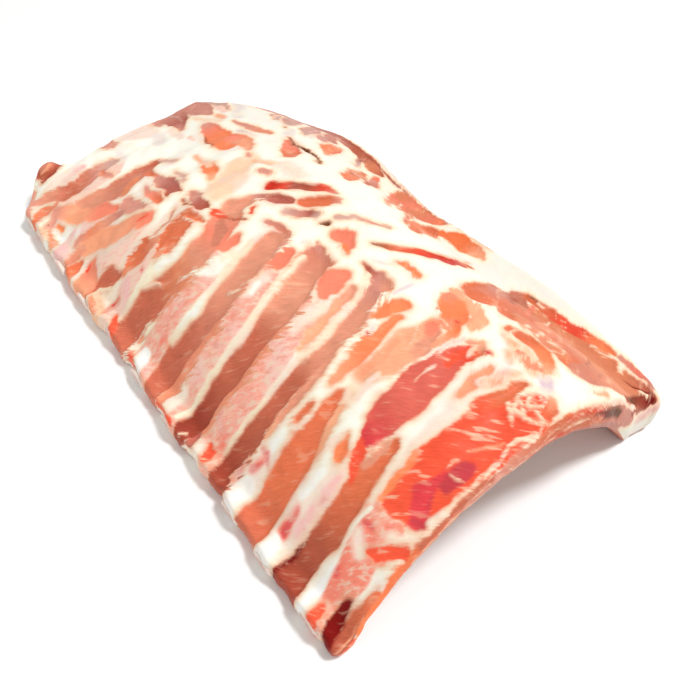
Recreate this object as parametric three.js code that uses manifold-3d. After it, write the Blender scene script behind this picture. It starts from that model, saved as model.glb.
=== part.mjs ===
// A raw rack of ribs: one arched slab of meat with a row of flat rib bones running through it.
//
// Millimetres, +Z up. X runs along the rack, across the ribs, from its ragged far end to the cut near
// end. Y runs along the ribs, from the sawn edge to the thick flap edge. The rack lies as a low vault
// on its two long edges, outer side up, with the middle of its underside clear of the table.
import * as THREE from "three";
import { mergeVertices } from "three/addons/utils/BufferGeometryUtils.js";
import Module from "manifold-3d";

// Driving dimensions.
const LENGTH = 361; // along the rack
const WIDTH = 210; // straight across the vault

// How far each rounded edge reaches inwards from the outline.
const ROUND_SAWN = 3.5;
const ROUND_FLAP = 8;
const ROUND_NEAR = 4;
const ROUND_FAR = 6;

const ARCH_NEAR = 56; // rise of the underside at the cut near end
const ARCH_FAR = 18; // rise of the underside at the far end
const ARCH_MIDDLE = -8; // Y of the crown
const ARCH_REACH_SAWN = 85; // from the crown to where the underside meets the table
const ARCH_REACH_FLAP = 85;
const ARCH_POWER_SAWN = 2.2; // 2 is a parabola, more is a flatter crown and a steeper foot
const ARCH_POWER_FLAP = 2.5;

// How softly the outer side bends where the underside meets the table, as a share of the rise.
const FOOT_SOFT_SAWN = 0.06;
const FOOT_SOFT_FLAP = 0.22;

const ARCH_RISE_FROM = -185; // X where the underside starts to rise from its far height
const ARCH_RISE_OVER = 180; // and over how much of X it does so

const SLAB = 15; // thickness over the ribs
const SLAB_EDGE = 12; // thickness at the sawn edge
const SAWN_TAPER = 22; // the slab thins over this much of Y towards the sawn edge
const NEAR_THINNING = 2; // how much thinner the slab is at the cut near end
const FLAP_EXTRA = 8; // how much thicker the flap side is
const FLAP_FROM = -25; // Y where the flap starts to cover the ribs
const FLAP_OVER = 70; // and over how much of Y it does so
const FLAP_ROLL = 5; // how much thicker again along the flap edge
const FLAP_WAIST = 3; // how far the flap edge is drawn in at the middle
const FLAP_WAIST_DEPTH = 5; // and how much thinner the flap is there
const FLAP_BULGE = 3; // how far it swells out before the cut near end
const FLAP_SWELL = 6; // how much thicker the flap is where it is fullest, towards its far end
const FLAP_CUT = 68; // how far the far corner of the flap is cut away
const FLAP_CUT_FROM = -78; // X where that cut starts
const FLAP_CUT_OVER = 124;
const KNOB = [-172, -78]; // a lump at the far end of the sawn edge
const KNOB_SIZE = 10;
const KNOB_HEIGHT = 8;
const RIB_RIDGE_TOP = 2; // height of the ribs over the meat between them
const RIB_RIDGE_UNDER = 2.5; // the same on the inner side

const RIBS = 11;
const RIB_PITCH = 32;
const FIRST_RIB = 161; // X of the rib nearest the cut end, where the ribs are straight
const RIB_STRAIGHT_TO = -80; // the ribs lean towards each other past this Y
const RIB_LEAN = [-16, -12, -14, -17, -16, -10, 0, 8, 14, 14, 6]; // lean of each one at Y = 0
const RIB_SHIFT = [0, -1, 1, 5, 5, 1, -4, -5, -8, -7, 6]; // uneven spacing, rib by rib

const BONE_WIDTH = 16;
const BONE_THICK = 8;
const BONE_HEIGHT = 6.4; // middle of the bone over the underside
const BONE_START = -WIDTH / 2 - 0.5; // the sawn end, just proud of the meat
const BONE_PROUD = [0.3, 2, 1.8, 0, 0.6, 1.6, 0, 1, 0.3, 0.6, 0.8]; // extra for each one
const BONE_END = 46; // the inner end, under the flap
const BONE_GAP = 0.4; // clearance between bone and meat

// Sampling of the faceted solids.
const STEPS_LONG = 66;
const STEPS_ACROSS = 16;
const RIM_STEPS = 4;
const BONE_SIDES = 8;
const BONE_STEPS = 9;
const BONE_POINTS = 12;

const wasm = await Module();
wasm.setup();

const clamp01 = (t) => Math.min(1, Math.max(0, t));

const smoothstep = (t) => {
  const c = clamp01(t);
  return c * c * (3 - 2 * c);
};

const bump = (t) => Math.exp(-t * t);

// How far the ribs have leant over at a given Y: 0 where they are straight, 1 at Y = 0.
const leanShare = (y) =>
  Math.pow(Math.max(0, (y - RIB_STRAIGHT_TO) / -RIB_STRAIGHT_TO), 1.5);

// X of the middle of rib number i at a given Y.
function ribX(i, y) {
  const straight = FIRST_RIB - RIB_PITCH * i + RIB_SHIFT[i];
  return straight + RIB_LEAN[i] * leanShare(y);
}

// 1 on the middle line of a rib, 0 halfway to the next one.
function ribRidge(x, y) {
  let nearest = Infinity;
  for (let i = 0; i < RIBS; i++)
    nearest = Math.min(nearest, Math.abs(x - ribX(i, y)));
  return 1 - smoothstep((nearest - 3) / (RIB_PITCH / 2 - 4));
}

// The outline: the two ends as X over Y, and the two long edges as Y over X.
const nearEnd = (y) =>
  LENGTH / 2 - 2 + 2 * smoothstep((-y - 82) / 18) - 1.5 * bump((y - 10) / 25);

const farEnd = (y) =>
  -LENGTH / 2 +
  13 -
  13 * bump((y - KNOB[1]) / KNOB_SIZE) +
  2 * Math.sin(y / 13) +
  7 * smoothstep((-y - 86) / 18);

const sawnEdge = (x) => -WIDTH / 2 + 0.8 - 0.8 * Math.sin(x / 17);

const flapEdge = (x) =>
  WIDTH / 2 -
  2 -
  FLAP_WAIST * bump((x + 8) / 38) +
  FLAP_BULGE * bump((x - 112) / 60) -
  3 * smoothstep((x - 155) / 25) -
  FLAP_CUT * Math.pow(smoothstep((FLAP_CUT_FROM - x) / FLAP_CUT_OVER), 1.2);

// The larger of t and 0, with the bend between the two rounded off.
const rounded = (t, softness) => (t + Math.hypot(t, softness)) / 2;

// Height of the inner side without its ribs, over the table; a softness above 0 rounds off its feet.
function archHeight(x, y, softness = 0) {
  const risen = smoothstep((x - ARCH_RISE_FROM) / ARCH_RISE_OVER);
  const rise = ARCH_FAR + (ARCH_NEAR - ARCH_FAR) * risen;
  const fall =
    y < ARCH_MIDDLE
      ? Math.pow((ARCH_MIDDLE - y) / ARCH_REACH_SAWN, ARCH_POWER_SAWN)
      : Math.pow((y - ARCH_MIDDLE) / ARCH_REACH_FLAP, ARCH_POWER_FLAP);
  return rise * rounded(1 - fall, softness);
}

// 0 over the ribs, 1 where the flap of fat and muscle covers them.
const flapCover = (y) => smoothstep((y - FLAP_FROM) / FLAP_OVER);

// Thickness of the slab from the inner side to the outer side.
function thickness(x, y) {
  const atSawnEdge = 1 - smoothstep((y + WIDTH / 2) / SAWN_TAPER);
  const atFlapEdge = smoothstep((y - 35) / 45) * smoothstep((x + 150) / 60);
  const uneven = 1.2 * Math.sin(x / 23 + y / 31) + 0.8 * Math.sin(y / 11 - x / 37);
  const fromKnob = Math.hypot(x - KNOB[0], y - KNOB[1]);
  const fromSwell = Math.hypot((x + 85) / 36, (y - 70) / 26);
  return (
    SLAB -
    (SLAB - SLAB_EDGE) * atSawnEdge +
    (FLAP_EXTRA + uneven) * flapCover(y) +
    FLAP_ROLL * atFlapEdge +
    FLAP_SWELL * bump(fromSwell) -
    FLAP_WAIST_DEPTH * atFlapEdge * bump((x + 8) / 42) +
    RIB_RIDGE_TOP * ribRidge(x, y) * (1 - flapCover(y)) +
    KNOB_HEIGHT * bump(fromKnob / KNOB_SIZE) -
    NEAR_THINNING * bump((LENGTH / 2 - x) / 12)
  );
}

// The inner side: ribs stand out of it downwards, but never below the table.
function underside(x, y) {
  const inwards = smoothstep((archHeight(x, y) - 4) / 10);
  return Math.max(
    0,
    archHeight(x, y) - RIB_RIDGE_UNDER * ribRidge(x, y) * inwards,
  );
}

// The outer side follows the vault, and bends more softly than it over the flap side's foot.
function outerSide(x, y) {
  const softness =
    FOOT_SOFT_SAWN + (FOOT_SOFT_FLAP - FOOT_SOFT_SAWN) * smoothstep((y + 20) / 60);
  return archHeight(x, y, softness) + thickness(x, y);
}

// Plan position of grid point (i, j), inside the outline less its rounded edges. The rows are closer
// together near both long edges, where the slab bends most.
function plan(i, j) {
  const u = i / STEPS_LONG;
  const v = 0.5 - 0.5 * Math.cos((Math.PI * j) / STEPS_ACROSS);
  const roughX = -LENGTH / 2 + LENGTH * u;
  const left = sawnEdge(roughX) + ROUND_SAWN;
  const right = flapEdge(roughX) - ROUND_FLAP;
  const y = left + (right - left) * v;
  const far = farEnd(y) + ROUND_FAR;
  const near = nearEnd(y) - ROUND_NEAR;
  return [far + (near - far) * u, y];
}

// How far the rounded edge stands out from grid point (i, j) of the outline.
function edgeRound(i, j) {
  const sides = [];
  if (i === 0) sides.push(ROUND_FAR);
  if (i === STEPS_LONG) sides.push(ROUND_NEAR);
  if (j === 0) sides.push(ROUND_SAWN);
  if (j === STEPS_ACROSS) sides.push(ROUND_FLAP);
  return sides.reduce((sum, side) => sum + side, 0) / sides.length;
}

// The grid indices of the slab's outline, once round, anticlockwise seen from above.
function outlineIndices() {
  const ring = [];
  for (let i = 0; i < STEPS_LONG; i++) ring.push([i, 0]);
  for (let j = 0; j < STEPS_ACROSS; j++) ring.push([STEPS_LONG, j]);
  for (let i = STEPS_LONG; i > 0; i--) ring.push([i, STEPS_ACROSS]);
  for (let j = STEPS_ACROSS; j > 0; j--) ring.push([0, j]);
  return ring;
}

// The slab of meat before the bones are taken out: an upper and a lower grid, and a half-round rim
// that joins them all the way round.
function slabGeometry() {
  const positions = [];
  const indices = [];
  const row = STEPS_ACROSS + 1;
  const addGrid = (height, facesUp) => {
    const base = positions.length / 3;
    for (let i = 0; i <= STEPS_LONG; i++)
      for (let j = 0; j <= STEPS_ACROSS; j++) {
        const [x, y] = plan(i, j);
        positions.push(x, y, height(x, y));
      }
    for (let i = 0; i < STEPS_LONG; i++)
      for (let j = 0; j < STEPS_ACROSS; j++) {
        const a = base + i * row + j;
        const [b, c, d] = [a + row, a + row + 1, a + 1];
        if (facesUp) indices.push(a, b, c, a, c, d);
        else indices.push(a, c, b, a, d, c);
      }
    return (i, j) => base + i * row + j;
  };
  const upper = addGrid(outerSide, true);
  const lower = addGrid(underside, false);

  const ring = outlineIndices();
  const corners = ring.map(([i, j]) => plan(i, j));
  const outward = corners.map((_, k) => {
    const before = corners[(k + ring.length - 1) % ring.length];
    const after = corners[(k + 1) % ring.length];
    const [dx, dy] = [after[0] - before[0], after[1] - before[1]];
    const size = Math.hypot(dx, dy);
    return [dy / size, -dx / size];
  });
  let below = ring.map(([i, j]) => lower(i, j));
  for (let step = 1; step <= RIM_STEPS; step++) {
    const angle = -Math.PI / 2 + (Math.PI * step) / RIM_STEPS;
    const above = ring.map(([i, j], k) => {
      if (step === RIM_STEPS) return upper(i, j);
      const [x, y] = corners[k];
      const [low, high] = [underside(x, y), outerSide(x, y)];
      const reach = edgeRound(i, j) * Math.cos(angle);
      positions.push(
        x + outward[k][0] * reach,
        y + outward[k][1] * reach,
        low + (high - low) * (0.5 + 0.5 * Math.sin(angle)),
      );
      return positions.length / 3 - 1;
    });
    for (let k = 0; k < ring.length; k++) {
      const next = (k + 1) % ring.length;
      indices.push(below[k], below[next], above[next]);
      indices.push(below[k], above[next], above[k]);
    }
    below = above;
  }
  return new THREE.BufferGeometry()
    .setAttribute("position", new THREE.Float32BufferAttribute(positions, 3))
    .setIndex(indices);
}

// A flat-sided oval bone section, grown by a margin all round.
function boneSection(margin) {
  const shape = new THREE.Shape();
  for (let k = 0; k < BONE_SIDES; k++) {
    const angle = (2 * Math.PI * (k + 0.5)) / BONE_SIDES;
    const x = (BONE_WIDTH / 2 + margin) * Math.cos(angle);
    const y = (BONE_THICK / 2 + margin) * Math.sin(angle);
    if (k === 0) shape.moveTo(x, y);
    else shape.lineTo(x, y);
  }
  shape.closePath();
  return shape;
}

// Rib bone number i, from one Y to another along the rib's own line inside the slab.
function boneGeometry(i, fromY, toY, margin) {
  const points = [];
  for (let k = 0; k <= BONE_POINTS; k++) {
    const y = fromY + ((toY - fromY) * k) / BONE_POINTS;
    const x = ribX(i, y);
    points.push(new THREE.Vector3(x, y, archHeight(x, y) + BONE_HEIGHT));
  }
  return new THREE.ExtrudeGeometry(boneSection(margin), {
    steps: BONE_STEPS,
    extrudePath: new THREE.CatmullRomCurve3(points),
  });
}

// A closed three.js geometry as a solid that can be joined and cut.
function solidOf(geometry) {
  const bare = geometry.clone();
  bare.deleteAttribute("normal");
  bare.deleteAttribute("uv");
  const merged = mergeVertices(bare, 1e-4);
  return new wasm.Manifold(
    new wasm.Mesh({
      numProp: 3,
      vertProperties: new Float32Array(merged.attributes.position.array),
      triVerts: new Uint32Array(merged.index.array),
    }),
  );
}

function geometryOf(solid) {
  const mesh = solid.getMesh();
  return new THREE.BufferGeometry()
    .setAttribute("position", new THREE.BufferAttribute(mesh.vertProperties, 3))
    .setIndex(new THREE.BufferAttribute(mesh.triVerts, 1));
}

const rack = new THREE.Group();

const rawMeat = new THREE.MeshStandardMaterial({
  color: 0xd98a72,
  roughness: 0.38,
  metalness: 0,
});
const bone = new THREE.MeshStandardMaterial({
  color: 0xf0ddcf,
  roughness: 0.5,
  metalness: 0,
});

// The meat, with a channel for each bone that opens at the sawn edge.
const boneStart = (i) => BONE_START - BONE_PROUD[i];
let meat = solidOf(slabGeometry());
for (let i = 0; i < RIBS; i++) {
  const channel = boneGeometry(
    i,
    boneStart(i),
    BONE_END + BONE_GAP,
    BONE_GAP,
  );
  meat = meat.subtract(solidOf(channel));
}
const meatMesh = new THREE.Mesh(geometryOf(meat), rawMeat);
meatMesh.name = "meat";
rack.add(meatMesh);

for (let i = 0; i < RIBS; i++) {
  const mesh = new THREE.Mesh(boneGeometry(i, boneStart(i), BONE_END, 0), bone);
  mesh.name = `rib_bone_${String(i + 1).padStart(2, "0")}`;
  rack.add(mesh);
}

// The origin is under the middle of the rack, on the table.
const size = new THREE.Box3().setFromObject(rack);
const middle = size.getCenter(new THREE.Vector3());
rack.position.set(-middle.x, -middle.y, -size.min.z);

export default rack;
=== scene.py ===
"""A raw rack of ribs, dressed: the wet, marbled slab of meat and the sawn rib bones that run through it.

The slab is one closed skin, worked out on a grid over the rack's plan. A chart of muscles, fat and
membranes (class Chart) gives every point of the skin its tissue, its grain and how far it sinks or
swells, and one procedural material turns the chart into meat. Lengths are in millimetres on the plan and
become metres when a mesh is made. +X runs to the cut near end, -Y to the sawn edge, +Z up.
"""

import logging
import math
from dataclasses import dataclass
from enum import Enum
from typing import Any, Iterable

import bpy
import numpy as np
from numpy.typing import NDArray
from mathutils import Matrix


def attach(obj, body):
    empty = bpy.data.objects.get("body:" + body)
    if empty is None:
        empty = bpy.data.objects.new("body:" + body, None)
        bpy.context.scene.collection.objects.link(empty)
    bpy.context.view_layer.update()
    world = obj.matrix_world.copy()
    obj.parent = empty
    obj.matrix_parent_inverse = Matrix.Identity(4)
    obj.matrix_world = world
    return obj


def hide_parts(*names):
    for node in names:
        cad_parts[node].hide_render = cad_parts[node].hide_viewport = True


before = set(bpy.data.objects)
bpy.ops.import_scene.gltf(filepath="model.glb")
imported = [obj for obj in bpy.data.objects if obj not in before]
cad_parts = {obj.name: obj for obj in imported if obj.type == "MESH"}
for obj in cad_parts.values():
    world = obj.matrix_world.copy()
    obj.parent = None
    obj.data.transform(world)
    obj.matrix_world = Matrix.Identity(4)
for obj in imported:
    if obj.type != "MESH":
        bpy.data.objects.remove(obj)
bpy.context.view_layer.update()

Array = NDArray[np.float64]

LOG = logging.getLogger("rack_of_ribs")

MM = 0.001
PLAN_ORIGIN = (-0.84454, 0.75391)  # where the plan's own origin lies in the frame, in mm
STUDIO_GAIN = 1.10  # how much brighter than its pigment a matt surface shows in the studio
STUDIO_SHEEN = 0.010  # light that the wet surface adds to every colour
STUDIO_SLOPE = 0.0023  # share by which the key light brightens each mm towards the flap


# ---------------------------------------------------------------------------------------------------
# Small numeric helpers
# ---------------------------------------------------------------------------------------------------


def smoothstep(t: Array | float) -> Array:
    """Returns 0 below t = 0, 1 above t = 1, and 3t^2 - 2t^3 in between."""
    c = np.clip(t, 0.0, 1.0)
    return c * c * (3.0 - 2.0 * c)


def bump(t: Array | float) -> Array:
    """Returns the bell exp(-t^2)."""
    return np.exp(-np.square(t))


def mix(a: Array, b: Array, share: Array) -> Array:
    """Returns a + (b - a) * share."""
    return a + (b - a) * share


def linear_colour(code: str) -> tuple[float, float, float]:
    """Turns a display colour into linear light.

    Args:
        code: Six hexadecimal digits, red, green and blue.

    Returns:
        The three linear values, each from 0 to 1.
    """
    shares = [int(code[k : k + 2], 16) / 255 for k in (0, 2, 4)]
    return tuple(s / 12.92 if s <= 0.04045 else ((s + 0.055) / 1.055) ** 2.4 for s in shares)


def pigment(code: str) -> tuple[float, float, float]:
    """Linear pigment that shows as a display colour once the studio's sheen and gain are added."""
    return tuple(max(0.004, (c - STUDIO_SHEEN) / STUDIO_GAIN) for c in linear_colour(code))


def tint(code: str, texture: float) -> tuple[float, float, float, float]:
    """Pigment of a display colour, with the strength of its texture as a fourth value."""
    return (*pigment(code), texture)


def lattice_noise(x: Array, y: Array, size: float, seed: int) -> Array:
    """Smooth seeded noise: random values on a square lattice, blended with smoothstep weights.

    Args:
        x: Plan X of the points, mm.
        y: Plan Y of the points, mm.
        size: Lattice spacing, mm.
        seed: Which pattern.

    Returns:
        Values between -1 and 1.
    """
    side = 64
    table = np.random.default_rng(seed).uniform(-1.0, 1.0, (side, side))
    gx = x / size + side * 8
    gy = y / size + side * 8
    ix = np.floor(gx).astype(int)
    iy = np.floor(gy).astype(int)
    fx = smoothstep(gx - ix)
    fy = smoothstep(gy - iy)
    ix0, iy0, ix1, iy1 = ix % side, iy % side, (ix + 1) % side, (iy + 1) % side
    low = mix(table[ix0, iy0], table[ix1, iy0], fx)
    high = mix(table[ix0, iy1], table[ix1, iy1], fx)
    return mix(low, high, fy)


# ---------------------------------------------------------------------------------------------------
# The form of the rack
# ---------------------------------------------------------------------------------------------------


@dataclass(frozen=True)
class RackForm:
    """The rack's outline, vault and thickness as functions of plan X and Y, all in mm."""

    length: float = 361.0
    width: float = 210.0
    round_sawn: float = 3.5
    round_flap: float = 8.0
    round_near: float = 4.0
    round_far: float = 4.0
    arch_near: float = 56.0
    arch_far: float = 18.0
    arch_middle: float = -8.0
    arch_reach: float = 85.0
    slab: float = 15.0
    slab_edge: float = 12.0
    flap_extra: float = 8.0
    flap_roll: float = 5.0
    flap_dip: float = 5.0  # how much thinner the flap's roll is at its waist
    far_lump: float = 6.0
    rib_rise: float = 2.0
    near_thinning: float = 2.0
    waist: float = 3.0
    bulge: float = 3.0
    near_cut: float = 3.0  # how far each corner is cut back
    far_cut: float = 68.0
    far_tip_cut: float = 6.0
    sawn_far_cut: float = 12.0
    far_inset: float = 13.0  # how far the far end lies inside the length
    far_swell: float = 3.0
    rib_pitch: float = 32.0
    first_rib: float = 161.0
    rib_straight_to: float = -80.0
    rib_lean: tuple[float, ...] = (-16, -12, -14, -17, -16, -10, 0, 8, 14, 14, 6)
    rib_shift: tuple[float, ...] = (0, -1, 1, 5, 5, 1, -4, -5, -8, -7, 6)
    knob: tuple[float, float] = (-172.0, -78.0)
    knob_size: float = 10.0
    knob_out: float = 12.25
    knob_height: float = 8.0
    scallop: float = 1.5

    def rib_x(self, number: int, y: Array) -> Array:
        """X of the middle of a rib: straight near the sawn edge, then leaning by a power 1.5 of Y.

        Args:
            number: Which rib, counted from 0 at the near end.
            y: Plan Y, mm.

        Returns:
            X, mm.
        """
        share = np.maximum(0.0, (y - self.rib_straight_to) / -self.rib_straight_to) ** 1.5
        straight = self.first_rib - self.rib_pitch * number + self.rib_shift[number]
        return straight + self.rib_lean[number] * share

    def from_rib(self, x: Array, y: Array) -> Array:
        """Distance along X from the nearest rib's middle line."""
        gaps = [np.abs(x - self.rib_x(i, y)) for i in range(len(self.rib_lean))]
        return np.minimum.reduce(gaps)

    def ridge(self, x: Array, y: Array) -> Array:
        """1 along the middle of each rib, falling by a smoothstep to 0 halfway to the next one."""
        return 1.0 - smoothstep((self.from_rib(x, y) - 3.0) / (self.rib_pitch / 2 - 4.0))

    def near_end(self, y: Array) -> Array:
        """X of the cut near end over Y."""
        wavy = 0.5 + 0.5 * lattice_noise(y, 0 * y, 9.0, 11)
        return self.length / 2 - 2 + 2 * smoothstep((-y - 82) / 18) - 1.5 * bump((y - 10) / 25) - wavy

    def far_end(self, y: Array) -> Array:
        """X of the ragged far end over Y: a wave with a swell, the knob, and the sawn corner cut back.

        Args:
            y: Plan Y, mm.

        Returns:
            X, mm.
        """
        knob = self.knob_out * bump((y - self.knob[1]) / self.knob_size)
        swell = self.far_swell * bump((y - 25) / 15)
        wave = 2 * np.sin(y / 13)
        corner = self.sawn_far_cut * smoothstep((-y - 86) / 18)
        ragged = 0.2 + 0.3 * lattice_noise(y, 0 * y, 7.0, 12)
        return -self.length / 2 + self.far_inset - knob - swell + wave + corner + ragged

    def sawn_edge(self, x: Array) -> Array:
        """Y of the sawn edge over X: each rib end stands out and the meat between draws back.

        Args:
            x: Plan X, mm.

        Returns:
            Y, mm.
        """
        waves = 0.8 - 0.8 * np.sin(x / 17)
        y_end = np.full_like(x, -self.width / 2)
        drawn_back = self.scallop * (1.0 - self.ridge(x, y_end))
        ragged = 0.4 + 0.5 * lattice_noise(x, 0 * x, 5.0, 13)
        return -self.width / 2 + waves + drawn_back + ragged

    def flap_edge(self, x: Array) -> Array:
        """Y of the thick flap edge over X: its waist, its bulge and its corners, the far one cut twice.

        Args:
            x: Plan X, mm.

        Returns:
            Y, mm.
        """
        waist = self.waist * bump((x + 8) / 38)
        bulge = self.bulge * bump((x - 112) / 60)
        near_corner = self.near_cut * smoothstep((x - 155) / 25)
        long_cut = self.far_cut * smoothstep((-78 - x) / 124) ** 1.2
        far_corner = long_cut + self.far_tip_cut * smoothstep((-150 - x) / 20)
        wavy = 0.3 + 0.4 * lattice_noise(x, 0 * x, 11.0, 14)
        return self.width / 2 - 2 - waist + bulge - near_corner - far_corner - wavy

    def vault(self, x: Array, y: Array, softness: Array | float = 0.0) -> Array:
        """Height of the inner side's vault: rise times 1 - fall, with softness rounding off its feet.

        Args:
            x: Plan X, mm.
            y: Plan Y, mm.
            softness: Share of the rise over which the vault's feet are rounded.

        Returns:
            Height, mm.
        """
        rise = self.arch_far + (self.arch_near - self.arch_far) * smoothstep((x + 185) / 180)
        sawn_side = (np.maximum(0.0, self.arch_middle - y) / self.arch_reach) ** 2.2
        flap_side = (np.maximum(0.0, y - self.arch_middle) / self.arch_reach) ** 2.5
        left = 1.0 - np.where(y < self.arch_middle, sawn_side, flap_side)
        return rise * (left + np.hypot(left, softness)) / 2

    def flap_cover(self, y: Array) -> Array:
        """0 over the bare ribs, 1 where the flap covers them."""
        return smoothstep((y + 25) / 70)

    def thickness(self, x: Array, y: Array) -> Array:
        """Thickness of the slab: thin at the sawn edge, thicker by flap, lump, ribs and knob.

        Args:
            x: Plan X, mm.
            y: Plan Y, mm.

        Returns:
            Thickness, mm.
        """
        at_sawn = 1 - smoothstep((y + self.width / 2) / 22)
        at_flap = smoothstep((y - 35) / 45) * smoothstep((x + 150) / 60)
        uneven = 1.2 * np.sin(x / 23 + y / 31) + 0.8 * np.sin(y / 11 - x / 37)
        cover = self.flap_cover(y)
        lump = self.far_lump * bump(np.hypot((x + 85) / 36, (y - 70) / 26))
        from_knob = np.hypot(x - self.knob[0], y - self.knob[1])
        return (
            self.slab
            - (self.slab - self.slab_edge) * at_sawn
            + (self.flap_extra + uneven) * cover
            + self.flap_roll * at_flap
            + lump
            - self.flap_dip * at_flap * bump((x + 8) / 42)
            + self.rib_rise * self.ridge(x, y) * (1 - cover)
            + self.knob_height * bump(from_knob / self.knob_size)
            - self.near_thinning * bump((self.length / 2 - x) / 12)
        )

    def outer(self, x: Array, y: Array) -> Array:
        """Height of the outer side before its relief."""
        softness = 0.06 + 0.16 * smoothstep((y + 20) / 60)
        return self.vault(x, y, softness) + self.thickness(x, y)

    def inner(self, x: Array, y: Array) -> Array:
        """Height of the inner side: ribs stand down out of the vault, never below the table.

        Args:
            x: Plan X, mm.
            y: Plan Y, mm.

        Returns:
            Height, mm.
        """
        height = self.vault(x, y)
        inwards = smoothstep((height - 4) / 10)
        rough = 0.4 * inwards * lattice_noise(x, y, 7.0, 15)
        return np.maximum(0.0, height - 2.5 * self.ridge(x, y) * inwards + rough)


# ---------------------------------------------------------------------------------------------------
# The chart of tissues
# ---------------------------------------------------------------------------------------------------


@dataclass(frozen=True)
class Look:
    """How one tissue looks and how it shapes the skin."""

    colour: str  # display colour, six hexadecimal digits
    lean: bool  # lean meat, or else fat, membrane or bone
    texture: float  # strength of the streaks in lean, or of the mottling in fat
    sink: float  # mm that it lies below the fat round it, before Chart.LEAN_SINK
    ragged: float = 1.0  # mm that its edge wanders along the grain
    soft: float = 0.8  # mm over which its colour comes in, for fat


class Tissue(Enum):
    """The tissues that show on the rack."""

    BROWN = Look("c86e56", True, 0.35, 1.4, 0.8)
    # DARK is dark meat. In the strips that run to the sawn edge it is also painted shade at the foot, where
    # the light falls off.
    DARK = Look("a04a3b", True, 0.30, 1.6, 0.7)
    RUST = Look("b65f49", True, 0.35, 1.5, 0.8)
    ROSE = Look("e69a7e", True, 0.35, 1.2, 0.9)
    DUSKY = Look("bb6759", True, 0.30, 1.2, 0.9)
    TAN = Look("e47955", True, 0.40, 1.2, 0.8)
    CLAY = Look("e78b66", True, 0.45, 0.6, 0.8)
    APRICOT = Look("fba47f", True, 0.40, 0.7, 0.7)
    BLAZE = Look("fb8150", True, 0.25, 0.5, 1.0)
    ORANGE = Look("fc8a5d", True, 0.35, 0.8, 0.6)
    SALMON = Look("fa8c71", True, 0.20, 0.8, 0.4)
    PEACH_MEAT = Look("f8b08a", True, 0.40, 0.4, 0.8)
    RED = Look("f55f45", True, 0.60, 0.5, 0.8)
    SCARLET = Look("ee5540", True, 0.50, 0.8, 0.6)
    WINE = Look("dc6a5b", True, 0.45, 0.0, 0.6)
    EMBER = Look("cf3f30", True, 0.15, 0.9, 0.5)
    CRIMSON = Look("e04a50", True, 0.40, 0.6, 0.5)
    MARROW = Look("c9494f", True, 0.25, 0.5, 0.2)
    MAROON = Look("802422", True, 0.40, 1.5, 0.6)
    MULBERRY = Look("d48f7f", True, 0.35, 0.6, 0.9)
    HAZE = Look("d6a89a", True, 0.35, 0.3, 1.0)
    SHADE = Look("7a4a33", True, 0.20, 2.2, 0.5)
    FAWN = Look("d6846c", True, 0.40, 1.0, 1.2)
    SHREDS = Look("ec9474", True, 0.60, 0.3, 1.8)
    BLUSH_MEAT = Look("e29a88", True, 0.35, 0.4, 1.0)
    FAT = Look("fefcee", False, 0.05, 0.0)
    CREAM = Look("feedd2", False, 0.25, 0.0)
    PEACH = Look("fdd4b2", False, 0.20, 0.1, soft=2.6)
    BLUSH = Look("fce0d0", False, 0.25, 0.0, soft=1.8)
    MEMBRANE = Look("f9ab98", False, 1.00, 0.0)
    RAW_MEMBRANE = Look("f98c78", False, 1.00, 0.0)
    PALE_MEMBRANE = Look("f9cbb8", False, 0.80, 0.0)
    BONE_END = Look("fef3ea", False, 0.15, -0.6, soft=1.2)
    ROSY_FAT = Look("f7bcb8", False, 0.50, 0.0, soft=1.8)
    BLOOM = Look("f5806c", False, 0.60, 0.2, soft=1.8)
    BRUISE = Look("e0605f", False, 0.50, 0.3, soft=1.2)
    GLOW = Look("fbb088", False, 0.35, 0.1, soft=2.2)
    VEIL = Look("e6cabd", False, 0.35, 0.1, soft=3.0)
    RIB_FAT = Look("fde2cf", False, 0.45, 0.0, soft=4.0)
    LILAC = Look("dec4cc", False, 0.20, 0.2, soft=1.6)
    GREY_FILM = Look("f0e2da", False, 0.20, 0.0, soft=2.2)


T = Tissue


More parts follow.
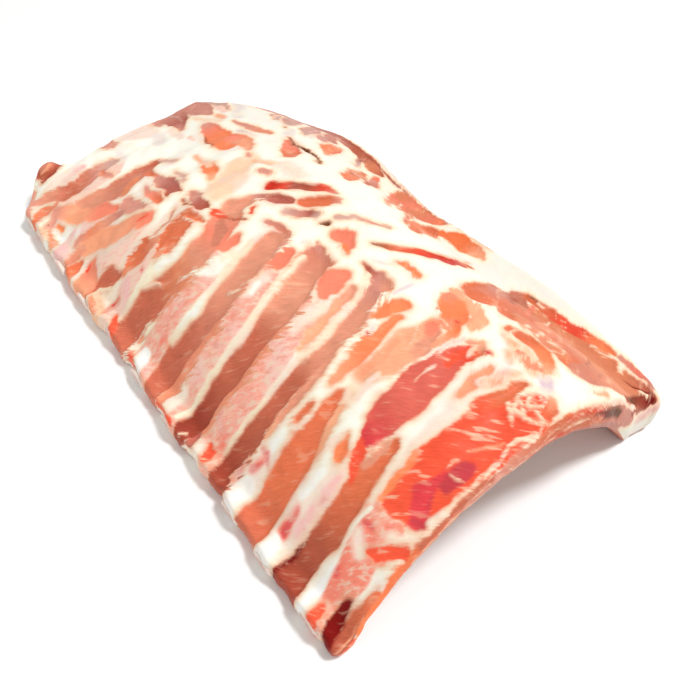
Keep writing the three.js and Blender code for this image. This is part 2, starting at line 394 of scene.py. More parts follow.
@dataclass(frozen=True)
class Strip:
    """A strip of tissue: a bent line with a half-width at each of its points.

    Its colour runs through its tissues from the first point to the last.
    """

    tissues: tuple[Tissue, ...]
    spine: tuple[tuple[float, float, float], ...]  # X, Y and half-width, mm
    grain: float | None = None  # direction of its fibres in degrees, or None for the usual one
    fray: float = 1.0  # how ragged its edges are; above 1 it is the +X edge only, and the other is smoother

    def measure(self, x: Array, y: Array) -> tuple[Array, Array, Array]:
        """Distance inside the strip's edge, how far along the strip and how far to its +X side a point is.

        The distance is the half-width at the nearest point of the line less the distance to it.

        Args:
            x: Plan X of the points, mm.
            y: Plan Y of the points, mm.

        Returns:
            The distance, positive inside; the share of the line's length from 0 to 1; mm towards +X.
        """
        points = np.array(self.spine)
        if len(points) == 1:
            inside = points[0, 2] - np.hypot(x - points[0, 0], y - points[0, 1])
            return inside, np.zeros_like(x), x - points[0, 0]
        lengths = np.hypot(*np.diff(points[:, :2], axis=0).T)
        starts = np.concatenate([[0.0], np.cumsum(lengths)])
        inside = np.full_like(x, -np.inf)
        along = np.zeros_like(x)
        aside = np.zeros_like(x)
        for k, length in enumerate(lengths):
            ax, ay, aw = points[k]
            bx, by, bw = points[k + 1]
            step = ((x - ax) * (bx - ax) + (y - ay) * (by - ay)) / (length * length)
            step = np.clip(step, 0.0, 1.0)
            away = np.hypot(x - mix(ax, bx, step), y - mix(ay, by, step))
            here = mix(aw, bw, step) - away
            better = here > inside
            inside = np.where(better, here, inside)
            along = np.where(better, (starts[k] + step * length) / starts[-1], along)
            aside = np.where(better, x - mix(ax, bx, step), aside)
        return inside, along, aside

    def blend(self, along: Array, values: list[tuple[float, ...]]) -> Array:
        """Runs a list of values, one for each tissue, along the strip.

        Args:
            along: Share of the strip's length.
            values: One tuple of numbers for each tissue.

        Returns:
            An array with one row for each point.
        """
        stops = np.linspace(0.0, 1.0, len(values)) if len(values) > 1 else np.array([0.0])
        table = np.array(values, float).reshape(len(values), -1)
        return np.stack([np.interp(along, stops, column) for column in table.T], axis=-1)


def strip(tissues: Tissue | tuple[Tissue, ...], *spine: tuple[float, float, float],
          grain: float | None = None, fray: float = 1.0) -> Strip:
    """Shorthand for a Strip of one or several tissues."""
    several = tissues if isinstance(tissues, tuple) else (tissues,)
    return Strip(several, spine, grain, fray)


# What covers each rib from the near end: tissue, Y where it ends inwards, half-width.
RIB_COVERS = (
    (T.RAW_MEMBRANE, -62.0, 10.0),
    (T.BLUSH, -64.0, 9.0),
    (T.BLUSH, -70.0, 8.0),
    (T.MEMBRANE, -36.0, 10.0),
    (T.MEMBRANE, -40.0, 10.0),
    (T.MEMBRANE, -56.0, 11.0),
    (T.PALE_MEMBRANE, -50.0, 11.0),
    (T.PALE_MEMBRANE, -62.0, 11.0),
    (T.ROSY_FAT, -72.0, 9.5),
    (T.PALE_MEMBRANE, -50.0, 9.0),
    (T.BLUSH, -66.0, 8.0),
)
OVER_EDGE = -124.0  # Y that strips running over the sawn edge reach to, with the edge laid out flat

NEAR_STRIPS = (
    # The first rib, cut through at the near end, and the red muscle and marrow beside it.
    strip(T.BLUSH, (147, 10, 3), (148, -22, 4), (150, -55, 3)),
    strip(T.RED, (167, 8, 6), (164, -4, 10), (164, -12, 12.5), (163, -35, 12), (161, -52, 10), grain=40,
          fray=0.6),
    strip(T.SALMON, (154, -9, 1.6), (153.5, -14, 1.8), grain=40),
    strip(T.ORANGE, (152, -40, 1.6), (152, -58, 2.0), grain=60),
    strip(T.PEACH, (152, -26, 0.4), (157, -22, 0.6), (160, -20, 0.4)),
    strip(T.CREAM, (156, 1, 0.7), (161, -2, 1.2), (166, -6, 0.4)),
    strip(T.CREAM, (160, 4, 0.7), (166, 1, 1.1), (172, 5, 0.8)),
    strip(T.CREAM, (152, -18, 0.5), (156, -12, 0.4)),
    strip(T.PEACH_MEAT, (163, -26, 0.4), (166, -20, 0.6), (170, -12, 0.4)),
    strip(T.MARROW, (168, -30, 3.4), (168, -39, 3.8)),
    strip(T.CREAM, (166, -36.5, 0.3), (169, -34.5, 0.55), (171, -34, 0.3)),
    strip(T.CREAM, (164, -30, 0.3), (163, -36, 0.6)),
    strip(T.CRIMSON, (164, -38, 1.2), (164, -48, 3.6), (170, -55, 2.8)),
    strip(T.MARROW, (169, -55.5, 1.4), (173, -54, 0.9)),
    strip(T.MARROW, (166, -45, 0.5), (168, -50, 0.7)),
    # A pale line painted along the near end's top edge as its highlight.
    strip((T.CREAM, T.BLUSH), (174.5, 6, 1.0), (172.5, -12, 1.1), (174.5, -32, 1.0), (175.5, -48, 0.9),
          (174, -62, 1.6)),
    strip(T.RAW_MEMBRANE, (156, -63, 2.5), (162, -63, 2.9), (168, -61, 2.5)),
    strip(T.BLUSH, (168, -65, 2.2), (174, -61, 2.2)),
    strip(T.BRUISE, (155.5, -69, 1.0), (160, -67.5, 1.0)),
    strip(T.RED, (163.5, -73, 0.8), (169, -71, 2.6), (175, -64, 2.2), grain=30),
    strip(T.BLUSH, (156, -73, 2.4), (161, -75, 2.6)),
    strip(T.BLOOM, (154, -82, 2.0), (158, -85, 2.4)),
    strip(T.BRUISE, (155, -84, 1.0), (158.5, -86, 1.0)),
    strip(T.FAT, (152.5, -64, 1.2), (151.5, -78, 1.6), (153.5, -88, 3.6), (156, -100, 5.0),
          (158, OVER_EDGE, 5)),
    strip(T.BLOOM, (164, -88, 3.0), (165, -98, 4.0), (166, -112, 4.6)),
    strip(T.RED, (163.5, -97, 2.2), (165, -103, 3.4), (166, -114, 4)),
    # Darker towards the sawn edge, partly real dark meat and partly painted shade of the foot.
    strip((T.TAN, T.RUST, T.DARK, T.RUST), (176.5, -80, 2.4), (178, -92, 3.6), (181, -104, 5),
          (184, OVER_EDGE, 6)),
    strip(T.PEACH_MEAT, (178, -86, 0.4), (180, -95, 0.6), (181, -104, 0.5)),
    strip(T.RED, (182, -84, 0.8), (184, -98, 1.0)),
    strip(T.MAROON, (170, -87, 1.8), (172, -94, 3.2), (174, -102, 3.2), (176, -110, 2)),
    # Between the first and second rib.
    # Darker towards the sawn edge, partly real dark meat and partly painted shade of the foot.
    strip((T.TAN, T.TAN, T.RUST, T.DARK, T.DARK), (141, -44, 2), (141, -56, 4.5), (143, -68, 6.8),
          (144, -80, 7), (144, -92, 6.6), (146, OVER_EDGE, 7.5), fray=0.5),
    strip(T.MAROON, (137, -86, 0.5), (137.5, -104, 0.9), (138, OVER_EDGE, 1)),
    strip(T.APRICOT, (141, 5, 2), (142, -3, 3.4), (144, -13, 1.2)),
    strip((T.SCARLET, T.WINE, T.WINE, T.WINE, T.CRIMSON), (128, 7, 3), (127, -6, 7), (129, -25, 9.6),
          (130, -40, 7.5), (132, -50, 3), grain=62, fray=0.6),
    strip(T.RED, (127, 3, 2), (128, -6, 2.4), grain=70),
    strip(T.CREAM, (124.5, -11, 0.4), (125.5, -17, 0.6), (126, -23, 0.3)),
    strip(T.RED, (131, -52, 2.0), (134, -57, 2.8), (138, -62, 1.6)),
    strip(T.ORANGE, (125, -55.5, 0.8), (127, -60, 2.6), (128, -62.5, 1.8)),
    strip(T.ROSE, (138, -46, 1.2), (138, -56, 1.6)),
    strip(T.BLUSH, (147, -50, 2.2), (150, -62, 2.0)),
    # Second rib.
    strip(T.FAT, (124, -66, 3.0), (124, -78, 3.4)),
    strip(T.ROSY_FAT, (133, -66, 2.0), (133.5, -76, 2.8), (133, -88, 2)),
    strip(T.BRUISE, (133.3, -74.5, 0.8), (133.5, -76, 0.6)),
    strip(T.BLOOM, (127, -85, 2.6), (127, -91, 3.4)),
    strip(T.BRUISE, (127.5, -83.5, 0.9), (127.5, -90.5, 2.2)),
    strip(T.BONE_END, (127, -98, 5.2), (128, -112, 6.2)),
    # Between the second and third.
    strip((T.TAN, T.TAN, T.TAN, T.BROWN, T.RUST), (108, -47, 3), (108, -58, 4.4), (112, -70, 7.6),
          (113, -84, 8), (113, OVER_EDGE, 8), fray=0.55),
    strip(T.PEACH_MEAT, (107, 3, 4), (109, -10, 8.4), (110, -24, 7), (107.5, -34, 4.6), grain=70),
    strip((T.ROSE, T.ROSE, T.PEACH_MEAT), (112, 0, 2.6), (113.5, -9, 4.4), (113, -18, 3), grain=70),
    strip(T.APRICOT, (103.5, -14, 1.4), (105, -26, 2.0), (106, -36, 1.6), grain=70),
    strip(T.CREAM, (102, -2, 0.5), (107, -8, 0.6), (109, -14, 0.3)),
    strip(T.BLUSH, (112, -32, 2), (113, -44, 3)),
    strip(T.PEACH, (108, -42, 2.4), (111, -48, 2.4)),
    strip(T.PEACH_MEAT, (112, -50, 1.2), (115, -60, 2.2), (119, -68, 0.8)),
    strip((T.ORANGE, T.ORANGE, T.APRICOT), (95, -6, 1.8), (97, -20, 3.2), (99.5, -34, 3.0), (100, -46, 1.8),
          grain=75, fray=0.5),
    strip(T.ORANGE, (91, 1, 2.8), (88, -6, 4.8), (88, -13, 2.2), fray=0.5),
    strip(T.LILAC, (92, -19, 2.2), (92.5, -22, 1.8)),
    strip(T.MARROW, (92.5, -21.5, 0.5)),
    strip(T.TAN, (100, -58.5, 1.3), (100, -66, 1.5)),
    # Third rib.
    strip(T.FAT, (98, -68, 3), (99, -75, 4.2)),
    strip(T.PEACH_MEAT, (92, -66, 2), (93, -76, 1.4)),
    strip(T.BLUSH, (97, -70, 0.8), (103, -66, 1.2)),
    strip(T.BRUISE, (104.5, -82, 0.7), (99, -79.5, 1.3), (94, -79.5, 0.8)),
    strip(T.BLOOM, (98, -82, 1.6), (95, -87, 2.2)),
    strip(T.BRUISE, (99, -82.5, 0.8), (95, -87, 1.2)),
    strip(T.BONE_END, (97, -95, 6.2), (97, -114, 6.5)),
    # Between the third and fourth.
    strip((T.RUST, T.DUSKY, T.MULBERRY, T.ROSE), (58.5, 0.5, 0.6), (63.5, 1.2, 2.0), (69, 1.6, 3.8),
          (75, 1.0, 4.2), grain=-5, fray=0.5),
    # Darker towards the sawn edge, partly real dark meat and partly painted shade of the foot.
    strip((T.MULBERRY, T.ROSE, T.ROSE, T.ROSE, T.BROWN, T.BROWN, T.RUST, T.DARK, T.RUST, T.DARK),
          (73, -3, 3.0), (75, -7, 4.6), (78, -14, 6), (83, -27, 7), (86, -42, 5.6), (86.5, -58, 4.6),
          (85.5, -70, 4.8), (85.5, -82, 5.6), (84, -93, 6.5), (84, OVER_EDGE, 7), fray=3.0),
    strip(T.ROSE, (92, -40, 1.5), (92.5, -58, 2.5), (93, -70, 1.8)),
    strip(T.CREAM, (65, -1, 2.0), (71, -12, 2.6), (77, -26, 2.8), (80, -42, 2.6), (79.5, -60, 1.5),
          (79, -78, 1.4), (77, -92, 1.0)),
    strip((T.ROSE, T.PEACH_MEAT, T.PEACH_MEAT), (67, -11, 1.6), (70, -22, 2.6), (73, -34, 2.2),
          (76, -46, 1.2)),
    strip(T.BLOOM, (90, -86, 1.6), (88, -94, 2.6)),
    strip(T.BRUISE, (89, -90, 0.7), (87.5, -95, 1.0)),
    # Fourth rib and the oval of salmon meat at its inner end.
    strip(T.BLUSH, (66, -28, 4.0), (66, -42, 3.6)),
    strip(T.SALMON, (59, -10, 3.6), (58, -17, 7.0), (61.5, -23, 3.2), grain=35),
    strip(T.BLOOM, (73, -89, 2.2), (74, -94, 2.4)),
    strip(T.BRUISE, (62, -85, 1.2), (62.5, -87, 1.0)),
    strip(T.RED, (68, -94, 1.4), (71, -96, 2.2), (72, -100, 2.0)),
    strip(T.CREAM, (80, -52, 1.0), (79, -70, 1.2), (78, -86, 1.2)),
    strip(T.BLUSH, (64, -99, 3.5), (63, -112, 4.5)),
)

MIDDLE_STRIPS = (
    strip(T.RIB_FAT, (140, -90, 18), (100, -84, 18), (60, -72, 24), (10, -74, 26), (-40, -80, 26),
          (-90, -88, 18)),
    # Between the fourth and fifth rib.
    # Darker towards the sawn edge, partly real dark meat and partly painted shade of the foot.
    strip((T.FAWN, T.ROSE, T.ROSE, T.BROWN, T.BROWN, T.DARK, T.DARK, T.DARK), (36, -10, 4.6), (42, -16, 8.4),
          (47, -28, 8.6), (53, -42, 9.2), (55, -58, 7.0), (55, -72, 6.0), (52.5, -88, 5.6), (50, -101, 4.4),
          (50, OVER_EDGE, 4), fray=4.0),
    strip((T.MULBERRY, T.FAWN), (33, -8, 1.6), (42, -9, 2.2), (50, -11, 1.8)),
    strip(T.CREAM, (51, -19, 0.4), (55, -24.5, 0.8), (61, -29, 1.0)),
    strip(T.PEACH_MEAT, (41, -32, 0.4), (46, -28, 0.7), (50, -25, 0.4)),
    strip(T.SHREDS, (62, -44, 0.8), (62.5, -60, 1.4), (61.5, -78, 1.6), (58, -94, 1.4), fray=2.4),
    strip(T.SHREDS, (-2, -50, 0.8), (-3, -64, 1.4), (-8, -78, 1.8), (-14, -92, 1.4), fray=2.4),
    strip(T.DUSKY, (56, -96, 1.8), (57.5, -102, 1.8)),
    strip(T.BLUSH, (52, -99, 0.8), (49, -103, 1.0)),
    strip(T.SALMON, (30, -22, 3.4), (30.5, -28, 4.8), grain=35),
    strip(T.FAT, (22, -16, 1.0), (25, -25, 1.4)),
    strip(T.CREAM, (36, -17, 1.8), (40, -32, 2.2), (44, -48, 2.4), (47, -62, 2.9), (46.5, -82, 1.6),
          (43, -98, 1.6)),
    strip(T.FAT, (36, -16, 1.0), (40, -30, 1.2), (44.5, -48, 1.2)),
    strip(T.BLUSH, (33, -38, 3.6), (33, -47, 2.6)),
    strip(T.FAT, (33, -42, 1.6), (34, -46, 1.2)),
    strip(T.BRUISE, (36.5, -69.5, 0.8), (38, -70, 0.6)),
    strip(T.BLUSH, (34, -92, 4.0), (33, -112, 4.6)),
    # Between the fifth and sixth rib.
    strip((T.MULBERRY, T.FAWN, T.BLUSH_MEAT), (4, -18, 1.4), (10, -14, 2.4), (17, -16, 3.0), (22, -22, 2.2)),
    strip(T.BLUSH, (8, -17, 0.5), (14, -16, 0.7), (20, -20, 0.5)),
    strip((T.ROSE, T.ROSE, T.ROSE, T.FAWN, T.BROWN, T.BROWN, T.BROWN, T.RUST), (15, -21, 5.2), (18, -29, 8.0),
          (20, -40, 7.6), (21.5, -50, 6.8), (23, -60, 7.6), (24.6, -72, 6.6), (18.5, -85, 8.0),
          (16, -96, 6.4), (19, OVER_EDGE, 5), fray=3.8),
    strip((T.CREAM, T.PEACH), (21, -51.5, 0.4), (25.5, -48.5, 0.7), (28.5, -42, 0.8), (29, -36, 0.5)),
    strip(T.CREAM, (9.5, -27, 1.8), (12, -42, 2.6), (12.5, -56, 2.8), (14.4, -68, 4.2), (10.5, -82, 1.8)),
    strip(T.FAT, (12.5, -60, 1.4), (14, -68, 2.2), (12, -75, 1.4)),
    strip(T.SHREDS, (31, -64, 1.6), (31, -76, 2.6), (28, -90, 3.8), (26, -100, 3.0), fray=3.0),
    strip(T.RUST, (13, -85, 0.4), (20, -82, 0.7), (28, -78, 0.3)),
    strip(T.FAT, (5, -26, 4.6), (2, -31, 3.0)),
    strip(T.FAT, (5, -50, 4.5), (0, -56, 3.2)),
    strip(T.CREAM, (-9, -82, 2.4), (-10, -92, 2.0)),
    strip(T.BONE_END, (-2, -97, 5.2), (-1, -113, 6.2)),
    strip(T.BLOOM, (4, -86, 1.2), (8, -84, 1.4)),
    strip(T.RED, (-12, -103, 1.4), (-8, -101.5, 2.2), (-5, -104, 1.6)),
    strip(T.RED, (25, -103.5, 1.5), (32, -102.5, 1.4), (42, -103, 1.6)),
    # Between the sixth and seventh.
    strip((T.DUSKY, T.DUSKY, T.MULBERRY), (1, 0, 1.6), (-6, -5, 4.0), (-14, -9, 2.6), (-19, -13, 2.4),
          grain=20),
    strip((T.ROSE, T.ROSE, T.SALMON, T.ROSE, T.CLAY, T.BROWN, T.BROWN, T.BROWN, T.BROWN, T.RUST),
          (-18, -16, 4.4), (-20, -24, 6.4), (-14, -33, 9.4), (-11, -41, 9.6), (-10, -52, 8.0),
          (-12, -66, 8.6), (-19, -80, 8.6), (-24, -92, 8.2), (-25, OVER_EDGE, 8), fray=4.2),
    strip(T.FAWN, (-18, -34, 2.6), (-11, -37, 4.4), (-7, -42, 3)),
    strip(T.FAT, (-32, -82, 1.8), (-26, -76, 1.4), (-18.5, -71.5, 0.6)),
    strip(T.FAT, (-9, -14, 2.6), (-5, -20, 2.2), (-2, -25, 2.0)),
    strip(T.GREY_FILM, (-16, -13, 1.8), (-8, -12, 1.6)),
    strip(T.SCARLET, (-10, -18, 1.5), (-7, -21, 1.4)),
    strip(T.PEACH, (-12, -22, 0.5), (-8, -24, 0.9), (-4, -24, 0.8)),
    strip((T.RED, T.RUST, T.RUST), (-25, -33, 2.2), (-17, -30, 0.8), (-5, -26, 0.7)),
    strip(T.SALMON, (2, -34, 2.4), (0, -40, 3.6), (-2, -43, 2)),
    strip(T.CREAM, (8, -40, 2.2), (6, -46, 1.4)),
    strip(T.FAT, (1, -56.5, 1.8), (-5, -61, 1.1), (-12, -63.5, 0.4)),
    # Seventh rib.
    strip(T.CREAM, (-22, -44, 3.4), (-23, -58, 5.0), (-27, -68, 5.4), (-31, -80, 2.6), (-34, -98, 2.0)),
    strip(T.FAT, (-22, -44, 1.4), (-23, -58, 2.4), (-26, -66, 2.6)),
    strip(T.BRUISE, (-40, -86, 1.2), (-43, -91, 2.2), (-46, -97, 2.0)),
    strip(T.CRIMSON, (-42, -87, 0.5), (-45, -93, 0.9)),
    strip(T.BRUISE, (-36, -74.5, 1.2)),
    strip(T.BLUSH, (-49, -44, 5.0), (-47, -56, 5)),
    strip(T.MULBERRY, (-50, -45, 0.4), (-46, -50, 0.7), (-47, -58, 0.4)),
    strip(T.ROSY_FAT, (-42, -84, 4), (-36, -90, 4)),
    strip((T.SHREDS, T.TAN, T.TAN, T.SHREDS), (-37, -43, 2.0), (-35, -49, 7.4), (-33.5, -57, 7.4),
          (-32, -64, 2.4)),
    strip((T.MULBERRY, T.MULBERRY, T.DUSKY, T.RUST), (-52, -33, 1.8), (-43, -33, 4.0), (-35, -35, 4.0),
          (-30, -33, 0.9), grain=10),
    strip(T.RUST, (-52, -38.5, 0.4), (-43, -38.8, 0.7), (-35, -38.3, 0.8)),
    strip(T.TAN, (-37, -42.5, 0.8), (-30, -42, 1.8), (-25, -40, 0.6)),
    strip(T.CREAM, (-38, -45, 0.5), (-31, -44.5, 0.6), (-25, -42, 0.5)),
    strip((T.SHREDS, T.TAN, T.TAN, T.CLAY), (-42, -63, 3.4), (-46, -68, 6.0), (-49, -74, 5.4),
          (-49, -80, 2.2)),
    strip((T.BROWN, T.BROWN, T.RUST), (-52, -82, 1.4), (-59, -88, 5.0), (-66, -98, 3.0), (-67, OVER_EDGE, 2)),
    strip(T.CREAM, (-53, -89, 1.2), (-60, -95, 1.8), (-63, -104, 1.4)),
    strip(T.GLOW, (-58, -98, 4), (-50, -101, 5), (-50, OVER_EDGE, 5)),
    strip(T.SHREDS, (-60, -101, 1.6), (-52, -103, 2.0)),
    strip(T.RED, (-36, -96, 1.4), (-31, -100.5, 2.6), (-33, OVER_EDGE, 3.4)),
    # Over the inner ends of the middle ribs.
    strip(T.PEACH, (-50, -2, 8), (-42, -12, 11), (-38, -22, 10)),
    strip(T.PEACH, (-58, 9, 2.4), (-46, 6, 3.4), (-34, 12, 2.4)),
    strip(T.GLOW, (-50, 5.5, 0.8), (-41, 7, 1.0), (-36, 8.5, 0.8)),
    strip(T.RIB_FAT, (-30, 14, 5), (-14, 14, 4)),
    strip((T.EMBER, T.SCARLET, T.DUSKY, T.RUST, T.SCARLET, T.BLUSH_MEAT), (-20, -0.5, 3.4), (-14, 3, 3.2),
          (-7, 8, 2.6), (-1, 14, 3.0), (3, 18.5, 2.6), (9, 19.5, 1.2), grain=42),
    strip((T.TAN, T.TAN, T.TAN, T.BLUSH_MEAT), (4, 4.5, 3.0), (8, 9, 4.6), (12, 14, 3.4), (16, 18.5, 1.4),
          grain=45),
    strip(T.PEACH, (7, 1, 0.5), (12, 7, 0.6), (15, 12, 0.4)),
    strip((T.HAZE, T.MULBERRY, T.DUSKY, T.HAZE), (4, -6, 1.6), (8, -2, 2.0), (12, 2, 2.4), (17, 3, 1.6),
          grain=30),
    strip((T.HAZE, T.HAZE, T.BLUSH_MEAT, T.HAZE), (25, 10, 1.8), (30, 17, 1.2), (38, 22, 1.0), (44, 28, 1.4),
          grain=42),
    strip(T.SHADE, (23.5, 2.2, 0.8), (26, 4.6, 1.2)),
    strip(T.SALMON, (34, 3.5, 3.4), (39, 6, 4.6), (45, 3, 2.4)),
    strip(T.ORANGE, (42, 1.5, 1.4), (49, -1, 0.8)),
    strip(T.ORANGE, (66, 15, 0.8), (72, 17, 2.2), (79, 17, 1.4)),
    strip(T.VEIL, (60, 6, 0.6), (67, 14, 0.6)),
    strip(T.LILAC, (82, 1, 1.2), (82, 12, 0.9)),
    strip(T.GREY_FILM, (28, -12, 1.6), (32, -8, 1.2)),
)

FAR_STRIPS = (
    # The knob: a cut end with a dark rim round a pale middle.
    strip(T.RUST, (-172, -77, 8.4)),
    strip(T.DARK, (-168, -70, 0.8), (-164.6, -77, 1.2), (-166, -84, 1.0)),
    strip(T.FAWN, (-174, -77, 5.4)),
    strip(T.TAN, (-176, -79, 2.0)),
    strip(T.PEACH_MEAT, (-172, -75, 0.8), (-169, -78, 0.7), (-171, -82, 0.6)),
    strip(T.BLUSH_MEAT, (-172, -37, 3.0), (-164, -39, 4.4), (-157, -38, 4.0), (-153, -38, 1.4)),
    strip(T.BLUSH, (-164, -14, 9), (-160, -24, 9), (-150, -14, 7)),
    strip(T.BLUSH_MEAT, (-166, -2, 2.6), (-158, -3.5, 3.2), (-153, -4, 1.6)),
    strip(T.GLOW, (-165, -7.5, 1.0), (-156, -8, 1.0)),
    strip(T.ROSY_FAT, (-153, -60, 2.0), (-152, -72, 2.4)),
    strip(T.BLUSH_MEAT, (-166, -92, 1.6), (-158, -100, 2.4), (-150, -103, 1.8)),
    # Between the tenth and eleventh rib.
    strip(T.GREY_FILM, (-142, -38, 3), (-132, -42, 3.4)),
    strip((T.HAZE, T.MULBERRY, T.FAWN, T.BROWN, T.FAWN, T.ROSE, T.BLUSH_MEAT), (-138, -46, 5),
          (-139, -52, 6.2), (-140, -62, 7.6), (-142.5, -71, 8.4), (-143, -77, 6.6), (-150, -84, 4.0),
          (-155, -92, 2.8), (-158, -97, 1.6)),
    strip((T.TAN, T.BLUSH_MEAT), (-136, -54, 2.0), (-130, -55, 1.6), (-124, -53, 1.2)),
    strip(T.VEIL, (-150, -66, 1.8), (-151, -74, 2.4)),
    strip((T.SHREDS, T.TAN, T.SHREDS), (-141, -87, 2.0), (-146, -94, 2.6), (-144, -103, 2.6),
          (-143, OVER_EDGE, 3)),
    strip(T.BLUSH_MEAT, (-136, -87, 1.6), (-132, -92, 3.2), (-130, -97, 2.0)),
    strip(T.SHADE, (-132, -96, 0.5)),
    strip(T.CREAM, (-137, -94, 1.6), (-136, -99, 1.6), (-130, -102, 1.4)),
    strip(T.ORANGE, (-126, -92, 1.4), (-122, -91, 1.8)),
    strip(T.GLOW, (-132, -101, 2.0), (-118, -100, 3.0), (-118, OVER_EDGE, 4)),
    strip(T.SHREDS, (-126, -99, 1.0), (-116, -100.5, 1.8)),
    # Between the ninth and tenth.
    strip((T.BROWN, T.FAWN, T.FAWN, T.ROSE, T.ROSE), (-108, -30, 5.4), (-107, -40, 9.4), (-107, -50, 10.4),
          (-111, -60, 8.2), (-119, -70, 5.8), (-126, -77, 2.4)),
    strip(T.CLAY, (-104, -46, 4), (-99, -54, 3.4)),
    strip((T.TAN, T.TAN, T.CLAY), (-101, -37, 3.4), (-94, -38, 2.4), (-87, -35.5, 0.7), grain=10),
    strip(T.GREY_FILM, (-110, -24, 1.8), (-102, -22.5, 3.6), (-95, -22.5, 3.4)),
    strip(T.HAZE, (-108, -25, 0.9), (-99, -24.5, 1.6), (-93, -21.5, 1.2)),
    strip(T.CREAM, (-92, -60.5, 1.6), (-104, -65, 1.4), (-122, -78, 1.2)),
    strip((T.SALMON, T.SALMON, T.APRICOT, T.APRICOT, T.BLUSH_MEAT), (-94, -64, 2.2), (-102, -69, 5.4),
          (-112, -76, 6.6), (-124, -82.5, 5.0), (-137, -89, 2.6), grain=34),
    strip(T.VEIL, (-112, -90, 2.0), (-104, -92, 2.0)),
    strip(T.GREY_FILM, (-108, -84, 2), (-99, -93, 2)),
    # Between the eighth and ninth.
    strip((T.BLUSH_MEAT, T.BLUSH_MEAT, T.MULBERRY), (-89, -58, 4.0), (-80, -56, 4.6), (-70, -53.5, 1.8)),
    strip((T.MULBERRY, T.ROSE, T.CLAY, T.BLUSH_MEAT), (-88, -64, 3.4), (-93, -73, 3.2), (-98, -84, 3.2),
          (-101, -90, 1.6)),
    strip((T.SALMON, T.APRICOT, T.APRICOT, T.APRICOT), (-60, -57, 3.0), (-67, -64, 5.6), (-78, -73, 6.0),
          (-88, -80, 5.6), (-95, -88, 3.4), grain=38),
    strip(T.RED, (-62, -57, 0.8), (-66, -62, 1.0)),
    strip(T.PEACH, (-64, -54.5, 1.4), (-76, -62, 1.4), (-86, -70, 1.0)),
    strip((T.ROSE, T.RUST), (-95, -88, 2.4), (-96, -98, 2.2), (-96, OVER_EDGE, 2)),
    strip((T.MULBERRY, T.DUSKY, T.DUSKY), (-86, -37, 2.4), (-76, -36, 4.4), (-65, -38, 4.8), (-59, -36, 1.4),
          grain=-14),
    strip(T.RUST, (-70, -41.5, 0.5), (-63, -43, 1.2)),
    strip(T.HAZE, (-82, -28, 0.7), (-72, -28.5, 1.2), (-63, -31, 0.8)),
    strip((T.BLUSH_MEAT, T.SALMON, T.TAN), (-87, -45, 1.2), (-76, -45.5, 2.0), (-64, -47.5, 2.0), grain=8),
    strip(T.BLUSH, (-85, -42, 0.8), (-72, -43.5, 0.8)),
    strip(T.VEIL, (-62, -66, 2.0), (-72, -80, 2.4), (-84, -88, 1.6)),
    strip((T.TAN, T.TAN, T.RUST), (-90, -93, 2.2), (-89, -99, 4.6), (-88, OVER_EDGE, 5)),
    strip((T.SALMON, T.APRICOT, T.TAN), (-79, -91, 4.4), (-72, -97, 6.8), (-72, OVER_EDGE, 7)),
    strip(T.SCARLET, (-82, -89.5, 0.8), (-81, -92.5, 1.6)),
    strip((T.ORANGE, T.ORANGE, T.GLOW), (-66, -14, 4.4), (-59, -15, 4.6), (-53, -18, 1.8), grain=-12),
    strip((T.GLOW, T.APRICOT), (-86, -12, 2.2), (-76, -12, 2.4), (-66, -12.5, 2.8), grain=-12),
    strip(T.GLOW, (-116, 0, 1.6), (-110, -0.5, 1.0)),
    strip(T.GREY_FILM, (-140, -12, 5), (-128, -16, 4)),
    strip(T.BLUSH, (-140, -2, 4), (-122, -4, 3)),
)

